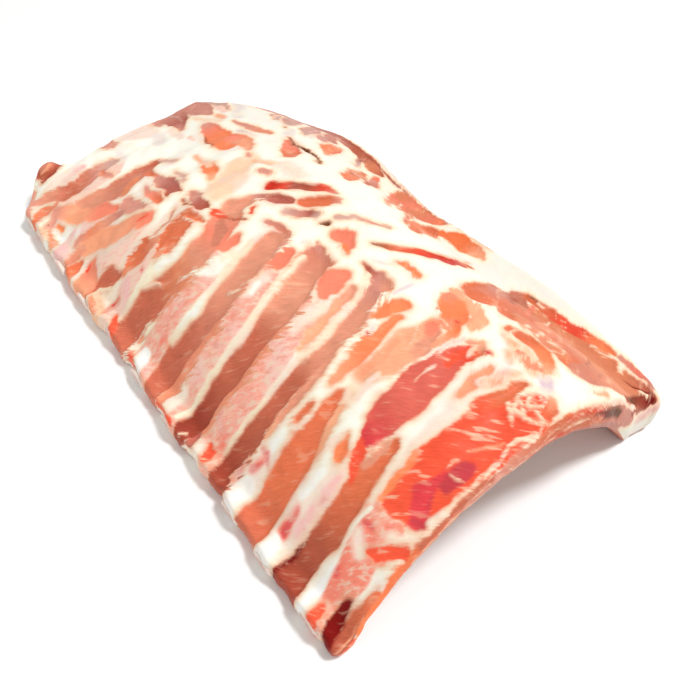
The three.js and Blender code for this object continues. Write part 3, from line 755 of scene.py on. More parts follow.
FLAP_STRIPS = (
    # The dusky muscle at the far end and the salmon one beside it.
    strip((T.MULBERRY, T.MULBERRY, T.BLUSH_MEAT), (-176, 22, 9), (-156, 23.5, 9.0), (-147, 23.5, 7.0),
          (-138, 24, 2.4), grain=-25),
    strip((T.BLUSH_MEAT, T.MULBERRY, T.DUSKY, T.MULBERRY), (-176, 9, 10), (-157, 8, 8.8), (-148, 6.5, 6.8),
          (-136, 2, 2.4), grain=-25),
    strip(T.HAZE, (-168, 2, 1.4), (-158, 11, 0.8), (-146, 8, 0.8)),
    strip(T.HAZE, (-155, 34, 2.4), (-147, 37.5, 4.2), (-136, 37, 2.6)),
    strip(T.ROSY_FAT, (-142, 34, 3.4), (-133, 33, 2.4)),
    strip(T.GREY_FILM, (-142, 48, 5), (-130, 40, 4), (-118, 34, 3)),
    strip(T.GLOW, (-133, 26, 2.4), (-127, 26.5, 3.8), (-123, 26, 1.8)),
    strip(T.PEACH, (-140, 14, 2), (-128, 18, 3), (-120, 22, 2)),
    strip((T.BLUSH_MEAT, T.SALMON, T.ORANGE, T.ORANGE, T.ORANGE), (-124, 14.5, 2.2), (-112, 12.5, 6.2),
          (-100, 10.5, 8.2), (-88, 8.5, 8.2), (-81, 6, 5.4), grain=-8),
    strip((T.SALMON, T.APRICOT, T.APRICOT, T.APRICOT), (-90, 14, 5.6), (-80, 16, 6.0), (-71, 13.5, 4.6),
          (-62, 10.5, 1.4), grain=-20),
    # A line of painted shade along the lower edge of the orange muscle above it.
    strip((T.RUST, T.SHADE, T.TAN), (-108, 5.0, 0.4), (-97, 1.8, 0.8), (-87, -0.4, 0.7)),
    strip((T.VEIL, T.BLUSH), (-96, 24, 3), (-82, 25, 3)),
    strip((T.BLUSH_MEAT, T.BLUSH_MEAT, T.SHREDS, T.SHREDS), (-113, 29, 1.2), (-100, 31, 2.8),
          (-90, 32.5, 3.6), (-81, 36, 1.8), grain=10),
    # Greyish-mauve bands of the thin muscle sheet over the far half.
    strip(T.VEIL, (-124, 76, 7), (-104, 62, 9), (-92, 56, 4)),
    strip(T.VEIL, (-92, 80, 7), (-78, 64, 7), (-72, 60, 4)),
    strip((T.HAZE, T.HAZE, T.MULBERRY, T.HAZE), (-124, 80, 3.4), (-111, 71, 6.0), (-99, 62, 5.0),
          (-92, 55, 1.6)),
    strip(T.HAZE, (-126, 67, 1.0), (-115, 60, 3.6), (-105, 55, 2.0)),
    strip((T.ROSY_FAT, T.BLUSH_MEAT, T.ROSY_FAT), (-130, 71, 0.8), (-116, 61, 1.6), (-104, 52, 0.9)),
    strip((T.HAZE, T.MULBERRY, T.HAZE), (-100, 82, 2.6), (-90, 72, 4.8), (-80, 62, 4.8), (-74, 57, 2.0)),
    strip((T.BLUSH_MEAT, T.ROSY_FAT), (-101, 84, 0.8), (-92, 76, 1.2), (-82, 66, 0.7)),
    strip((T.BLUSH_MEAT, T.MULBERRY, T.BLUSH_MEAT), (-88, 86, 3.0), (-78, 76, 4.4), (-68, 64, 3.0)),
    strip(T.ROSY_FAT, (-78, 68, 1.0), (-67, 57, 0.7)),
    strip(T.SHADE, (-89, 50.5, 0.5), (-86.5, 49.5, 0.7)),
    strip(T.GREY_FILM, (-82, 50, 3.4), (-72, 42, 3.4), (-62, 44, 2)),
    # The band along the flap edge, greyish towards the far end and brown at its middle.
    strip((T.HAZE, T.MULBERRY, T.HAZE, T.MULBERRY, T.DUSKY, T.MULBERRY), (-158, 41, 1.8), (-144, 57, 3.0),
          (-124, 73, 4.0), (-102, 84.5, 4.4), (-84, 90.5, 3.4), (-66, 92.5, 2.2), (-50, 93, 1.0), grain=-5),
    strip((T.MULBERRY, T.BROWN, T.BROWN, T.CLAY, T.BROWN), (-80, 86, 1.8), (-70, 90, 4.2), (-62, 90.5, 5.0),
          (-52, 89, 5.0), (-44, 87, 4.0), (-38, 88.5, 1.2), grain=-35),
    strip((T.DUSKY, T.HAZE, T.VEIL), (-57, 86, 2), (-51, 80, 1.4), (-47, 75, 0.8)),
    strip((T.RUST, T.DUSKY, T.HAZE), (-66, 93.5, 0.8), (-44, 91.8, 0.8), (-24, 91.8, 1.0), (-10, 93, 0.8)),
    strip(T.ROSY_FAT, (-34, 99, 2.0), (-14, 97, 2.6), (2, 98, 2.0)),
    strip((T.VEIL, T.HAZE), (-22, 95, 1.0), (2, 95.5, 1.2), (8, 96, 1.2)),
    strip(T.HAZE, (12, 100, 1.8), (17, 95.5, 2.6)),
    strip(T.HAZE, (-30, 101, 0.8), (-24, 95, 0.8)),
    strip(T.BLUSH_MEAT, (-20, 102, 0.9), (-13, 95, 0.8)),
    strip(T.HAZE, (-9, 102, 1.2), (-2, 95, 1.0)),
    strip(T.BLUSH_MEAT, (1, 103, 1.2), (8, 96, 0.8)),
    strip(T.VEIL, (-40, 102, 1.6), (-32, 95, 1.4)),
    strip(T.GREY_FILM, (-52, 97, 2), (-36, 95, 1.6)),
    strip((T.APRICOT, T.ORANGE, T.ORANGE, T.APRICOT), (-68, 78, 1.0), (-62, 69, 3.4), (-56, 60, 4.4),
          (-49, 54, 3.0), (-45, 51, 0.8)),
    strip(T.SCARLET, (-66, 77, 0.5), (-58, 68, 0.7), (-52, 61, 0.5)),
    # The crease, and the orange meat that shows below it.
    strip((T.SALMON, T.SALMON, T.TAN, T.TAN), (-68, 39, 1.8), (-57, 36, 4.4), (-49, 30, 6.0), (-42, 24, 4.4),
          grain=-40),
    # The crease's dark line is painted shade.
    strip((T.RUST, T.SHADE, T.SHADE, T.SHADE), (-72, 42.5, 0.6), (-60, 41.5, 1.0), (-48, 42.0, 1.7),
          (-36, 38.6, 0.9), (-25, 34, 0.5), grain=-12),
    strip(T.BLUSH_MEAT, (-57, 7, 1.4), (-54, 6, 1.4)),
    strip(T.BLUSH_MEAT, (-33, 2, 1.6), (-29, 4, 2.0)),
    # Long slips of muscle over the middle.
    strip((T.CLAY, T.APRICOT, T.CLAY, T.BLAZE, T.TAN), (-40, 76, 1.6), (-31, 66, 3.2), (-21, 54.5, 3.8),
          (-11, 43, 4.4), (-6.5, 39, 2.6)),
    strip(T.BROWN, (-33, 66, 0.4), (-25, 57, 0.7), (-17, 48, 0.4)),
    strip((T.SALMON, T.CLAY), (-37, 83, 1.8), (-32, 79, 3.0), (-27, 75, 2)),
    strip((T.BLUSH_MEAT, T.BROWN, T.CLAY), (-33, 80, 2.4), (-27, 72, 3.0), (-18, 62, 2.6), (-8, 52.5, 1.0)),
    strip(T.ROSY_FAT, (-23, 72, 0.6), (-12, 60, 0.7), (-5, 52, 0.5)),
    strip((T.SALMON, T.APRICOT, T.SALMON, T.APRICOT, T.GLOW), (-16, 82, 4.0), (-9, 75, 3.8), (0, 66, 2.6),
          (8, 57, 2.0), (16, 48, 0.8)),
    strip((T.SALMON, T.CLAY, T.APRICOT), (-4, 82, 3.4), (4, 71, 1.8), (15, 59, 0.7)),
    strip((T.CLAY, T.SALMON, T.CLAY, T.SALMON, T.ORANGE), (-17, 88, 4.6), (-6, 87, 6.4), (4, 86, 6.4),
          (12, 89, 4.6), (17, 93, 2.0), grain=-40),
    strip(T.RUST, (0, 92.6, 0.4), (8, 93.2, 0.6), (18, 93.2, 0.4)),
    strip((T.APRICOT, T.APRICOT, T.TAN, T.CLAY), (3, 79, 2.0), (11, 71, 1.2), (22, 60.5, 1.6), (33, 49, 1.4),
          (39, 43.5, 0.9)),
    strip(T.PEACH, (10, 76, 1.4), (20, 66, 1.2), (32, 52, 0.8)),
    strip((T.TAN, T.BLAZE, T.BLAZE, T.BLAZE, T.TAN), (20, 79, 4.8), (26, 71, 6.0), (33, 61, 5.8),
          (39, 53, 5.2), (43.5, 46, 3.4)),
    strip(T.APRICOT, (27, 76, 1.0), (34, 66, 1.6), (41, 54, 1.2)),
    strip((T.BLAZE, T.BLAZE, T.BLAZE, T.APRICOT, T.GLOW), (26, 84, 4.2), (33, 88.5, 6.8), (42, 88.5, 7.2),
          (50, 89, 4.2), (56, 88, 1.2), grain=-18),
    strip(T.GLOW, (27, 98, 2.4), (40, 98, 3.4), (52, 97, 2.4)),
    strip((T.GLOW, T.APRICOT, T.APRICOT, T.SHREDS), (56, 77, 1.6), (62, 69, 2.8), (67, 60, 3.6),
          (71, 50, 3.6), (69, 42, 2.6)),
    strip((T.SHADE, T.TAN, T.SCARLET, T.EMBER, T.EMBER, T.TAN, T.TAN), (50, 12, 0.7), (55, 17, 1.3),
          (61, 24, 2.2), (67, 33, 3.2), (72.5, 42, 3.4), (74, 50, 3.4), (69, 61, 2.9), (62, 71, 2.0),
          grain=75),
    # The big muscle over the near flap.
    strip((T.FAWN, T.FAWN, T.FAWN, T.TAN), (91, 79, 5), (99, 68, 10), (103, 53, 13), (101, 40, 10.5),
          grain=-5),
    strip((T.CLAY, T.CLAY, T.TAN, T.TAN), (112, 75, 12), (116, 58, 14), (117, 47, 11), grain=-5),
    strip((T.CLAY, T.APRICOT, T.TAN), (128, 79, 11), (134, 62, 13), (138, 53, 9), grain=-5),
    strip((T.CLAY, T.APRICOT, T.CLAY, T.TAN), (145, 80, 11), (150, 62, 14), (153, 48, 10), grain=-5),
    strip((T.CLAY, T.APRICOT, T.CLAY, T.FAWN), (162, 80, 9), (164, 64, 10), (161, 46, 8), grain=-5),
    strip((T.CLAY, T.SHREDS, T.CLAY), (122, 46, 5), (134, 44, 6), (148, 43, 5), grain=-5),
    strip(T.BROWN, (92, 77, 2.0), (99, 66, 2.6), (106, 55, 1.6)),
    strip(T.TAN, (106, 76, 1.0), (112, 64, 1.6), (120, 50, 1.0)),
    strip(T.SALMON, (100, 82, 1.0), (110, 66, 1.6), (116, 56, 1.0)),
    strip((T.DARK, T.SHADE, T.RUST), (173.5, 84, 3.4), (175, 74, 3.6), (174.5, 62, 2.6)),
    strip((T.MAROON, T.RUST, T.RUST), (178, 88, 5), (178, 76, 3.6), (177, 64, 1.4)),
    strip(T.CREAM, (114.5, 79, 0.7), (119, 70, 1.2), (124, 60, 0.5)),
    strip(T.PEACH_MEAT, (121, 81, 0.5), (131, 66, 0.9), (141, 52, 0.5)),
    strip(T.PEACH_MEAT, (128, 80, 0.4), (137, 66, 0.7), (142, 58, 0.4)),
    strip(T.PEACH, (86, 74, 0.4), (93, 62, 0.6), (99, 53, 0.4)),
    strip(T.RUST, (146, 72, 0.4), (152, 60, 0.8), (155, 52, 0.3)),
    strip(T.RUST, (160, 60, 0.3), (164, 52, 0.5)),
    strip(T.PEACH_MEAT, (163, 62, 1.4), (166, 56, 1.2)),
    strip((T.TAN, T.TAN, T.RED, T.SCARLET, T.ORANGE, T.ORANGE), (93, 84, 2.0), (104, 86, 3.0),
          (116, 86.5, 4.2), (128, 89, 4.4), (138, 92.5, 3.4), (147, 94, 1.4), grain=-5),
    strip(T.BLUSH, (99, 86, 0.6), (103.5, 86.5, 1.0)),
    strip(T.SHADE, (95, 86.4, 0.4), (98, 86.8, 0.3)),
    strip((T.PEACH, T.BLUSH, T.BLUSH), (139, 87.5, 0.5), (149, 91, 0.8), (160, 91.5, 0.8)),
    strip((T.BLUSH_MEAT, T.BLOOM, T.MULBERRY), (150, 95, 2.0), (162, 95.5, 2.4), (171, 97, 1.6)),
    strip((T.CLAY, T.BROWN), (158, 88.5, 1.6), (164, 88.5, 2.4), (170, 91, 3.0)),
    strip((T.RUST, T.MAROON, T.MAROON, T.RUST), (159, 84, 0.4), (165, 86, 0.9), (172, 91, 1.2),
          (177, 93, 0.8)),
    strip(T.CREAM, (132, 47, 0.5), (135, 45, 1.0), (136, 41, 0.8), (131, 40, 0.7)),
    strip(T.PEACH, (141, 44, 0.5), (146, 46.5, 0.7), (149, 43, 0.6), (146, 40, 0.5)),
    strip(T.CREAM, (128, 44, 0.6), (130, 39, 1.0), (140, 38.6, 0.9), (152, 37, 0.6), (166, 36.5, 0.5)),
    # Below it: the fan of orange meat and the loose ends round the lilac gristle.
    strip((T.PEACH_MEAT, T.PEACH_MEAT, T.GLOW), (97, 26, 3.0), (108, 25, 4.0), (117, 23, 3.2),
          (118, 16, 2.4)),
    strip((T.SHREDS, T.ORANGE, T.ORANGE, T.SHREDS), (98, 22, 4.0), (103, 19, 6.4), (109, 14, 6.4),
          (111, 8, 4.0), grain=-5),
    strip(T.PEACH, (104, 7, 0.6), (108, 8.4, 0.5), (112, 7, 0.4)),
    strip(T.SALMON, (107, 2.5, 3.4), (109, 0, 3.0)),
    strip((T.TAN, T.ORANGE, T.APRICOT, T.APRICOT), (112.5, 13, 1.2), (115, 9, 1.8), (117, 3, 2.0),
          (116, -4, 1.6)),
    strip(T.CRIMSON, (112, 12.6, 0.9)),
    strip(T.GLOW, (131, 28, 3.0), (141, 25, 5.0), (151, 22, 4.6)),
    strip(T.GLOW, (139, 19, 3.0), (143, 15, 2.2)),
    strip((T.TAN, T.TAN, T.ORANGE, T.ORANGE, T.PEACH_MEAT), (128, 32, 2.6), (136, 34, 3.8), (145, 34, 4.0),
          (150, 31, 3.4), (156, 26, 2.0), grain=-5),
    strip(T.SHREDS, (141, 23, 1.4), (148, 22, 2.4), (153, 24, 2.0)),
    strip(T.CREAM, (130, 36, 0.6), (129, 31, 0.6), (134, 28, 0.5)),
    strip(T.CREAM, (138, 28, 0.6), (141, 23, 0.6)),
    strip((T.GLOW, T.SHREDS, T.GLOW), (151, 14, 1.6), (147, 5, 3.4), (144, -2, 2.6)),
    strip((T.TAN, T.TAN, T.RED), (155, 12, 1.4), (154, 2, 3.0), (153, -12, 3.2), grain=70),
    strip((T.ROSE, T.PEACH_MEAT, T.ROSE), (124, 9, 1.2), (128, 13.5, 1.6), (132, 9, 1.6)),
    strip(T.GLOW, (127.5, 9.5, 1.6), (129, 6, 1.6)),
    strip(T.CRIMSON, (134, 11.2, 1.0)),
    strip((T.TAN, T.SCARLET), (132, 9, 1.2), (131, 3, 1.8)),
    strip(T.ROSY_FAT, (121, 8, 1.4), (121, -4, 1.6)),
    strip(T.LILAC, (159, 22, 3.6), (163, 18, 3.2)),
    strip((T.APRICOT, T.TAN, T.RED), (167, 16, 1.6), (171, 12, 3.0), (172, 4, 4.0), grain=55),
    strip(T.CREAM, (158, 11, 0.8), (163, 5.5, 1.0), (168, 9, 0.8), (166, 14, 0.7)),
    strip(T.CREAM, (157, 5, 0.6), (161, 0, 1.0), (168, 1.5, 0.9), (174, 6, 0.6)),
    strip(T.CREAM, (164, 8, 0.5), (171, 6, 0.8), (175, 1, 0.5)),
    strip(T.PEACH, (160, 14, 0.8), (165, 11, 0.7)),
    strip(T.PEACH_MEAT, (172, 38, 0.7), (173, 44, 1.0)),
)

RIM_STRIPS = (
    # The face of the near end, laid out flat beyond the outline.
    strip((T.BLUSH_MEAT, T.TAN, T.TAN, T.BLUSH_MEAT, T.TAN, T.BLAZE), (185.4, 66, 6), (185.4, 36, 8),
          (185, 5, 8.8), (185, -30, 8.8), (185, -60, 8.8), (185.4, -84, 7), grain=85),
    strip(T.SCARLET, (179.5, 40, 0.8), (179.5, 30, 1.8), (179, 16, 0.8), grain=85),
    strip(T.SCARLET, (187, 26, 1.0), (187, 10, 1.4), (187.5, -8, 0.8), grain=85),
    strip((T.BLUSH, T.ROSY_FAT, T.BLUSH), (178, 70, 2.4), (178.5, 34, 1.0), (179, 20, 0.5), grain=85),
    strip(T.CREAM, (181, 30, 0.5), (180.5, 8, 0.7), (182, -14, 0.5)),
    strip(T.PEACH, (180, -24, 0.5), (182, -44, 0.8), (181, -62, 0.5)),
    strip(T.BROWN, (178, -24, 1.2), (178, -40, 2.0), (178, -58, 1.4), grain=85),
    # A recess in the near end's face, its shade painted dark brown and maroon.
    strip((T.RUST, T.MAROON, T.SHADE, T.SHADE), (183, 34, 1.4), (184, 40, 3.4), (184.5, 46, 4.4),
          (184.5, 54, 3.8)),
    strip((T.CREAM, T.PEACH), (185, 40, 0.8), (186, 0, 0.8), (185.5, -50, 0.9), (184, -76, 0.6)),
    strip((T.MULBERRY, T.DUSKY, T.DUSKY), (195, 60, 2.6), (196, 0, 3.4), (196, -90, 3.4), grain=85),
    strip(T.ROSY_FAT, (181, 92, 4), (183, 80, 4.2)),
    strip(T.DUSKY, (180, 71, 1.4), (183, 69, 1.6)),
)


class Chart:
    """The chart of tissues laid over the rack: what each point of the skin is and how it lies."""

    FLAP_GRAIN = -51.0  # usual direction of the fibres over the flap, degrees from +X
    RIB_GRAIN = 42.0  # and over the ribs
    OUTSIDE = -12.0  # distance given to points far from any lean meat, mm
    MARGIN = 8.0  # mm round a strip within which it still has an effect
    LEAN_SINK = 1.25  # how many times its tissue's sink a lean strip lies below the fat
    LIT = (-105.0, 95.0)  # Y between which the key light's slope is evened out
    UNLAID = ("e2977b", 0.4)  # colour and texture of lean meat before any strip is laid
    INNER_ROSE = ("cf8673", 0.35)  # and those of the inner side's tissues
    INNER_DUSK = ("b9675a", 0.35)
    INNER_FILM = ("f4cdbf", 0.6)
    INNER_FAT = ("fdeedd", 0.2)

    def __init__(self, form: RackForm) -> None:
        """Lays the strips in the order in which they cover each other."""
        self.form = form
        self.strips = (
            MIDDLE_STRIPS[0],
            *self.rib_covers(),
            *MIDDLE_STRIPS[1:],
            *FAR_STRIPS,
            *NEAR_STRIPS,
            *FLAP_STRIPS,
            *RIM_STRIPS,
        )

    def rib_covers(self) -> Iterable[Strip]:
        """The membrane over each rib, from the sawn edge inwards along the rib's own line."""
        for number, (tissue, y_end, half_width) in enumerate(RIB_COVERS):
            ys = np.linspace(OVER_EDGE, y_end, 5)
            xs = self.form.rib_x(number, ys)
            spine = [(float(x), float(y), half_width) for x, y in zip(xs, ys)]
            spine.append((spine[-1][0], y_end + 5, half_width * 0.4))
            yield Strip((tissue,), tuple(spine))

    def warp(self, x: Array, y: Array) -> tuple[Array, Array]:
        """Moves points by two sizes of noise, so that no edge of a strip is even.

        Args:
            x: Plan X, mm.
            y: Plan Y, mm.

        Returns:
            The moved X and Y.
        """
        wx = x + 1.2 * lattice_noise(x, y, 10.0, 21) + 0.7 * lattice_noise(x, y, 3.6, 22)
        wy = y + 1.2 * lattice_noise(x, y, 10.0, 23) + 0.7 * lattice_noise(x, y, 3.6, 24)
        return wx, wy

    def lie(self, degrees: float) -> float:
        """Where a direction lies between the flap's grain, 0, and the ribs' grain, 1."""
        return min(1.0, max(0.0, (degrees - self.FLAP_GRAIN) / (self.RIB_GRAIN - self.FLAP_GRAIN)))

    def read(self, x: Array, y: Array) -> dict[str, Array]:
        """Paints the strips one over another at the given points.

        A lean strip raises the distance inside lean meat, and a fat one lowers it. Colours are blended
        in over a short way round each strip's edge, and dimmed by as much as the key light brightens them.

        Args:
            x: Plan X of the points, mm, continued flat beyond the outline for the rim.
            y: Plan Y of the points, mm.

        Returns:
            lean: mm inside lean meat, negative in fat. lean_tint and fat_tint: linear colour and texture.
            sink: mm below the fat. lie: 0 to 1 from the flap's grain to the ribs'. flat: X, Y, raggedness.
        """
        wx, wy = self.warp(x, y)
        lean = np.full_like(x, self.OUTSIDE)
        lean_tint = np.tile(tint(*self.UNLAID), (x.size, 1))
        fat_tint = np.tile(tint(T.FAT.value.colour, T.FAT.value.texture), (x.size, 1))
        lie = smoothstep((-4.0 - y) / 18.0)
        ragged = np.ones_like(x)
        sink = np.zeros_like(x)
        for piece in self.strips:
            points = np.array(piece.spine)
            reach = points[:, 2].max() + self.MARGIN
            low = points[:, :2].min(axis=0) - reach
            high = points[:, :2].max(axis=0) + reach
            near = np.flatnonzero((wx > low[0]) & (wx < high[0]) & (wy > low[1]) & (wy < high[1]))
            if near.size == 0:
                continue
            inside, along, aside = piece.measure(wx[near], wy[near])
            looks = [tissue.value for tissue in piece.tissues]
            here = piece.blend(along, [tint(look.colour, look.texture) for look in looks])
            depth = piece.blend(along, [(look.sink,) for look in looks])[:, 0]
            if looks[0].lean:
                over_fat = 1 - smoothstep((lean[near] + 1.0) / 2.0)
                cover = smoothstep((inside + 0.5 + 1.9 * over_fat) / 1.4)
                lean_tint[near] = mix(lean_tint[near], here, cover[:, None])
                lean[near] = np.maximum(lean[near], inside)
                sunk = smoothstep((inside + 0.6) / 2.6)
                sink[near] = mix(sink[near], self.LEAN_SINK * depth, sunk)
                if piece.grain is not None:
                    lie[near] = mix(lie[near], self.lie(piece.grain), smoothstep((inside + 2.5) / 2.0))
                frayed = smoothstep(aside / 5.0 + 0.4)
                calm = min(piece.fray, 1.0 / piece.fray)
                rough = looks[0].ragged * mix(calm, piece.fray, frayed)
                ragged[near] = mix(ragged[near], rough, smoothstep((inside + 4.0 + 3.0 * frayed) / 2.5))
            else:
                cover = smoothstep((inside / looks[0].soft + 1) / 2)
                fat_tint[near] = mix(fat_tint[near], here, cover[:, None])
                lean[near] = np.minimum(lean[near], -inside)
                sink[near] = mix(sink[near], depth, cover)
        level = 1.0 + STUDIO_SLOPE * np.clip(y, *self.LIT)
        lean_tint[:, :3] = np.clip(lean_tint[:, :3] / level[:, None], 0.0, 1.0)
        fat_tint[:, :3] = np.clip(fat_tint[:, :3] / level[:, None], 0.0, 1.0)
        return {
            "lean": lean,
            "lean_tint": lean_tint,
            "fat_tint": fat_tint,
            "sink": sink,
            "lie": lie,
            "flat": np.stack([x, y, ragged], axis=-1),
        }

    def read_inner(self, x: Array, y: Array) -> dict[str, Array]:
        """The inner side: ribs under a pale film, with rose meat between them and fat towards the flap.

        Args:
            x: Plan X of the points, mm.
            y: Plan Y of the points, mm.

        Returns:
            The same arrays as read().
        """
        wx, wy = self.warp(x, y)
        between = self.form.from_rib(wx, wy) - 8.5
        fading = 14.0 * smoothstep((wy - 22 + 10 * lattice_noise(wx, wy, 24.0, 31)) / 26)
        lean = np.clip(between - fading, self.OUTSIDE, 8.0)
        rose, dusk, film, fat = (
            np.array([tint(*tissue)])
            for tissue in (self.INNER_ROSE, self.INNER_DUSK, self.INNER_FILM, self.INNER_FAT)
        )
        duskier = smoothstep(0.5 + lattice_noise(wx, wy, 16.0, 32))[:, None]
        fatter = smoothstep((wy - 10) / 30)[:, None]
        return {
            "lean": lean,
            "lean_tint": mix(rose, dusk, duskier),
            "fat_tint": mix(film, fat, fatter),
            "sink": np.zeros_like(x),
            "lie": np.zeros_like(x),
            "flat": np.stack([x, y, np.full_like(x, 0.8)], axis=-1),
        }


# ---------------------------------------------------------------------------------------------------
# Meshes
# ---------------------------------------------------------------------------------------------------


def make_object(
    name: str, points: Array, faces: list[Iterable[int]], material: bpy.types.Material
) -> bpy.types.Object:
    """Makes a smooth-shaded mesh object at the origin.

    Args:
        name: Name of the piece.
        points: One row of X, Y, Z for each vertex, in mm on the plan.
        faces: Vertex numbers of each face, anticlockwise seen from outside.
        material: Its only material.

    Returns:
        The object, linked to the scene.
    """
    placed = (points + np.array([*PLAN_ORIGIN, 0.0])) * MM
    mesh = bpy.data.meshes.new(name)
    mesh.from_pydata(placed, [], faces)
    mesh.polygons.foreach_set("use_smooth", np.ones(len(faces), bool))
    mesh.materials.append(material)
    mesh.update()
    mesh.validate()
    obj = bpy.data.objects.new(name, mesh)
    bpy.context.scene.collection.objects.link(obj)
    return obj


def add_attribute(obj: bpy.types.Object, name: str, kind: str, values: Array) -> None:
    """Stores one value for each vertex of a mesh.

    Args:
        obj: The object.
        name: Name of the attribute.
        kind: FLOAT, FLOAT_VECTOR or FLOAT_COLOR.
        values: One row for each vertex.
    """
    field = {"FLOAT": "value", "FLOAT_VECTOR": "vector", "FLOAT_COLOR": "color"}[kind]
    attribute = obj.data.attributes.new(name, kind, "POINT")
    attribute.data.foreach_set(field, np.ascontiguousarray(values, np.float32).ravel())


def loop_faces(low: Array, high: Array) -> Array:
    """Quads between two closed loops of vertex numbers, anticlockwise seen from the high loop's side."""
    return np.stack([low, np.roll(low, -1), np.roll(high, -1), high], axis=-1)


@dataclass
class MeatSlab:
    """The slab of meat: a fine outer grid, a coarser inner grid, and a rounded rim that joins them."""

    form: RackForm
    chart: Chart
    steps_long: int = 330
    steps_across: int = 200
    rim_steps: int = 12
    edge_crowding: float = 0.4  # share by which the rows crowd towards the long edges
    power_sawn: float = 0.6  # power of the cosine by which each side's rim bulges; a low one is squarer
    power_near: float = 0.65
    power_flap: float = 0.95
    power_far: float = 0.6
    rim_drawn_in: float = 0.35  # mm by which the ragged rim is drawn in

    def plan(self) -> tuple[Array, Array]:
        """Plan position of the grid, spread evenly between the two ends and the two long edges.

        Returns:
            X and Y, with rows along the rack and columns across it.
        """
        u = np.linspace(0.0, 1.0, self.steps_long + 1)[:, None]
        even = np.linspace(0.0, 1.0, self.steps_across + 1)[None, :]
        v = mix(even, 0.5 - 0.5 * np.cos(np.pi * even), self.edge_crowding)
        rough_x = self.form.length * (u - 0.5)
        left = self.form.sawn_edge(rough_x) + self.form.round_sawn
        right = self.form.flap_edge(rough_x) - self.form.round_flap
        y = left + (right - left) * v
        far = self.form.far_end(y) + self.form.round_far
        near = self.form.near_end(y) - self.form.round_near
        return far + (near - far) * u, y

    def ring(self) -> tuple[Array, Array]:
        """Grid indices of the outline, once round, anticlockwise seen from above."""
        long, across = self.steps_long, self.steps_across
        up_long, up_across = np.arange(long), np.arange(across)
        down_long, down_across = np.arange(long, 0, -1), np.arange(across, 0, -1)
        i = np.concatenate([up_long, np.full(across, long), down_long, np.zeros(across, int)])
        j = np.concatenate([np.zeros(long, int), up_across, np.full(long, across), down_across])
        return i, j

    def evened(self, values: Array, reach: int = 4) -> Array:
        """Moving mean of values round the closed outline, over reach neighbours on either side.

        Args:
            values: One number for each point of the outline.
            reach: Neighbours on either side.

        Returns:
            The means, in the same order.
        """
        window = np.ones(2 * reach + 1) / (2 * reach + 1)
        closed = np.concatenate([values[-reach:], values, values[:reach]])
        return np.convolve(closed, window, "valid")

    def rim_shape(self, i: Array, j: Array) -> tuple[Array, Array]:
        """How far the rim stands out of the outline and how square it is, smoothed round the corners.

        Args:
            i: Grid row of each point of the outline.
            j: Grid column of each.

        Returns:
            The reach in mm and the power for each point.
        """
        form = self.form
        sides = (
            (j == 0, form.round_sawn, self.power_sawn),
            (i == self.steps_long, form.round_near, self.power_near),
            (j == self.steps_across, form.round_flap, self.power_flap),
            (i == 0, form.round_far, self.power_far),
        )
        reach = np.zeros(i.size)
        power = np.zeros(i.size)
        for here, side_reach, side_power in sides:
            reach[here] = side_reach
            power[here] = side_power
        return self.evened(reach), self.evened(power)

    def relief(self, x: Array, y: Array) -> Array:
        """Unevenness of the outer side in mm: three sizes of lump, the finest one slight.

        Args:
            x: Plan X, mm.
            y: Plan Y, mm.

        Returns:
            Height above or below the even surface, mm.
        """
        lumps = 0.7 * lattice_noise(x, y, 17.0, 41)
        folds = 0.35 * lattice_noise(x, y, 6.5, 42)
        grit = 0.12 * lattice_noise(x, y, 2.4, 43)
        return lumps + folds + grit - 0.3

    def rim(self, corner: Array, upper: Array, lower: Array, bulge: tuple[Array, Array],
            angle: Array) -> tuple[Array, Array]:
        """Carries a rounded profile round the outline, from the outer side down to the inner side.

        At each angle the profile stands out by reach * cos(angle) ^ power, and its height runs from the
        upper to the lower one with the sine.

        Args:
            corner: Plan X and Y of the outline, mm, anticlockwise.
            upper: Height of the outer side along it.
            lower: Height of the inner side along it.
            bulge: How far the rim stands out along it, and the power.
            angle: Angle of each row of the profile, as a column.

        Returns:
            The rim's points, and the plan position of each with the rim laid out flat.
        """
        chord = np.roll(corner, -3, axis=0) - np.roll(corner, 3, axis=0)
        chord /= np.linalg.norm(chord, axis=1, keepdims=True)
        outward = np.stack([chord[:, 1], -chord[:, 0]], axis=-1)
        reach, power = bulge
        out = reach * np.maximum(0.0, np.cos(angle)) ** power
        level = 0.5 + 0.5 * np.sign(np.sin(angle)) * np.abs(np.sin(angle)) ** 0.9
        height = lower + (upper - lower) * level
        ragged = lattice_noise(corner[:, 0] + corner[:, 1], height * 1.3, 3.0, 44) * np.cos(angle)
        out = out - self.rim_drawn_in * (1 + ragged)
        plan = corner[None] + outward[None] * out[..., None]
        laid_out = np.vstack([out[:1], np.hypot(np.diff(out, axis=0), np.diff(height, axis=0))])
        laid_out[0] = np.hypot(out[0], upper - height[0])
        flat = corner[None] + outward[None] * np.cumsum(laid_out, axis=0)[..., None]
        return np.concatenate([plan, height[..., None]], axis=-1), flat

    def stitches(self, fine: Array, coarse: Array) -> Array:
        """Triangles between the rim's last loop and the inner grid's outline, which has half its points.

        Args:
            fine: Vertex numbers of the rim's last loop.
            coarse: Those of the inner grid's outline.

        Returns:
            Three vertex numbers for each triangle.
        """
        coarse_next = np.roll(coarse, -1)
        fine_0, fine_1, fine_2 = fine[::2], fine[1::2], np.roll(fine[::2], -1)
        return np.concatenate([
            np.stack([coarse, coarse_next, fine_1], axis=-1),
            np.stack([coarse, fine_1, fine_0], axis=-1),
            np.stack([coarse_next, fine_2, fine_1], axis=-1),
        ])

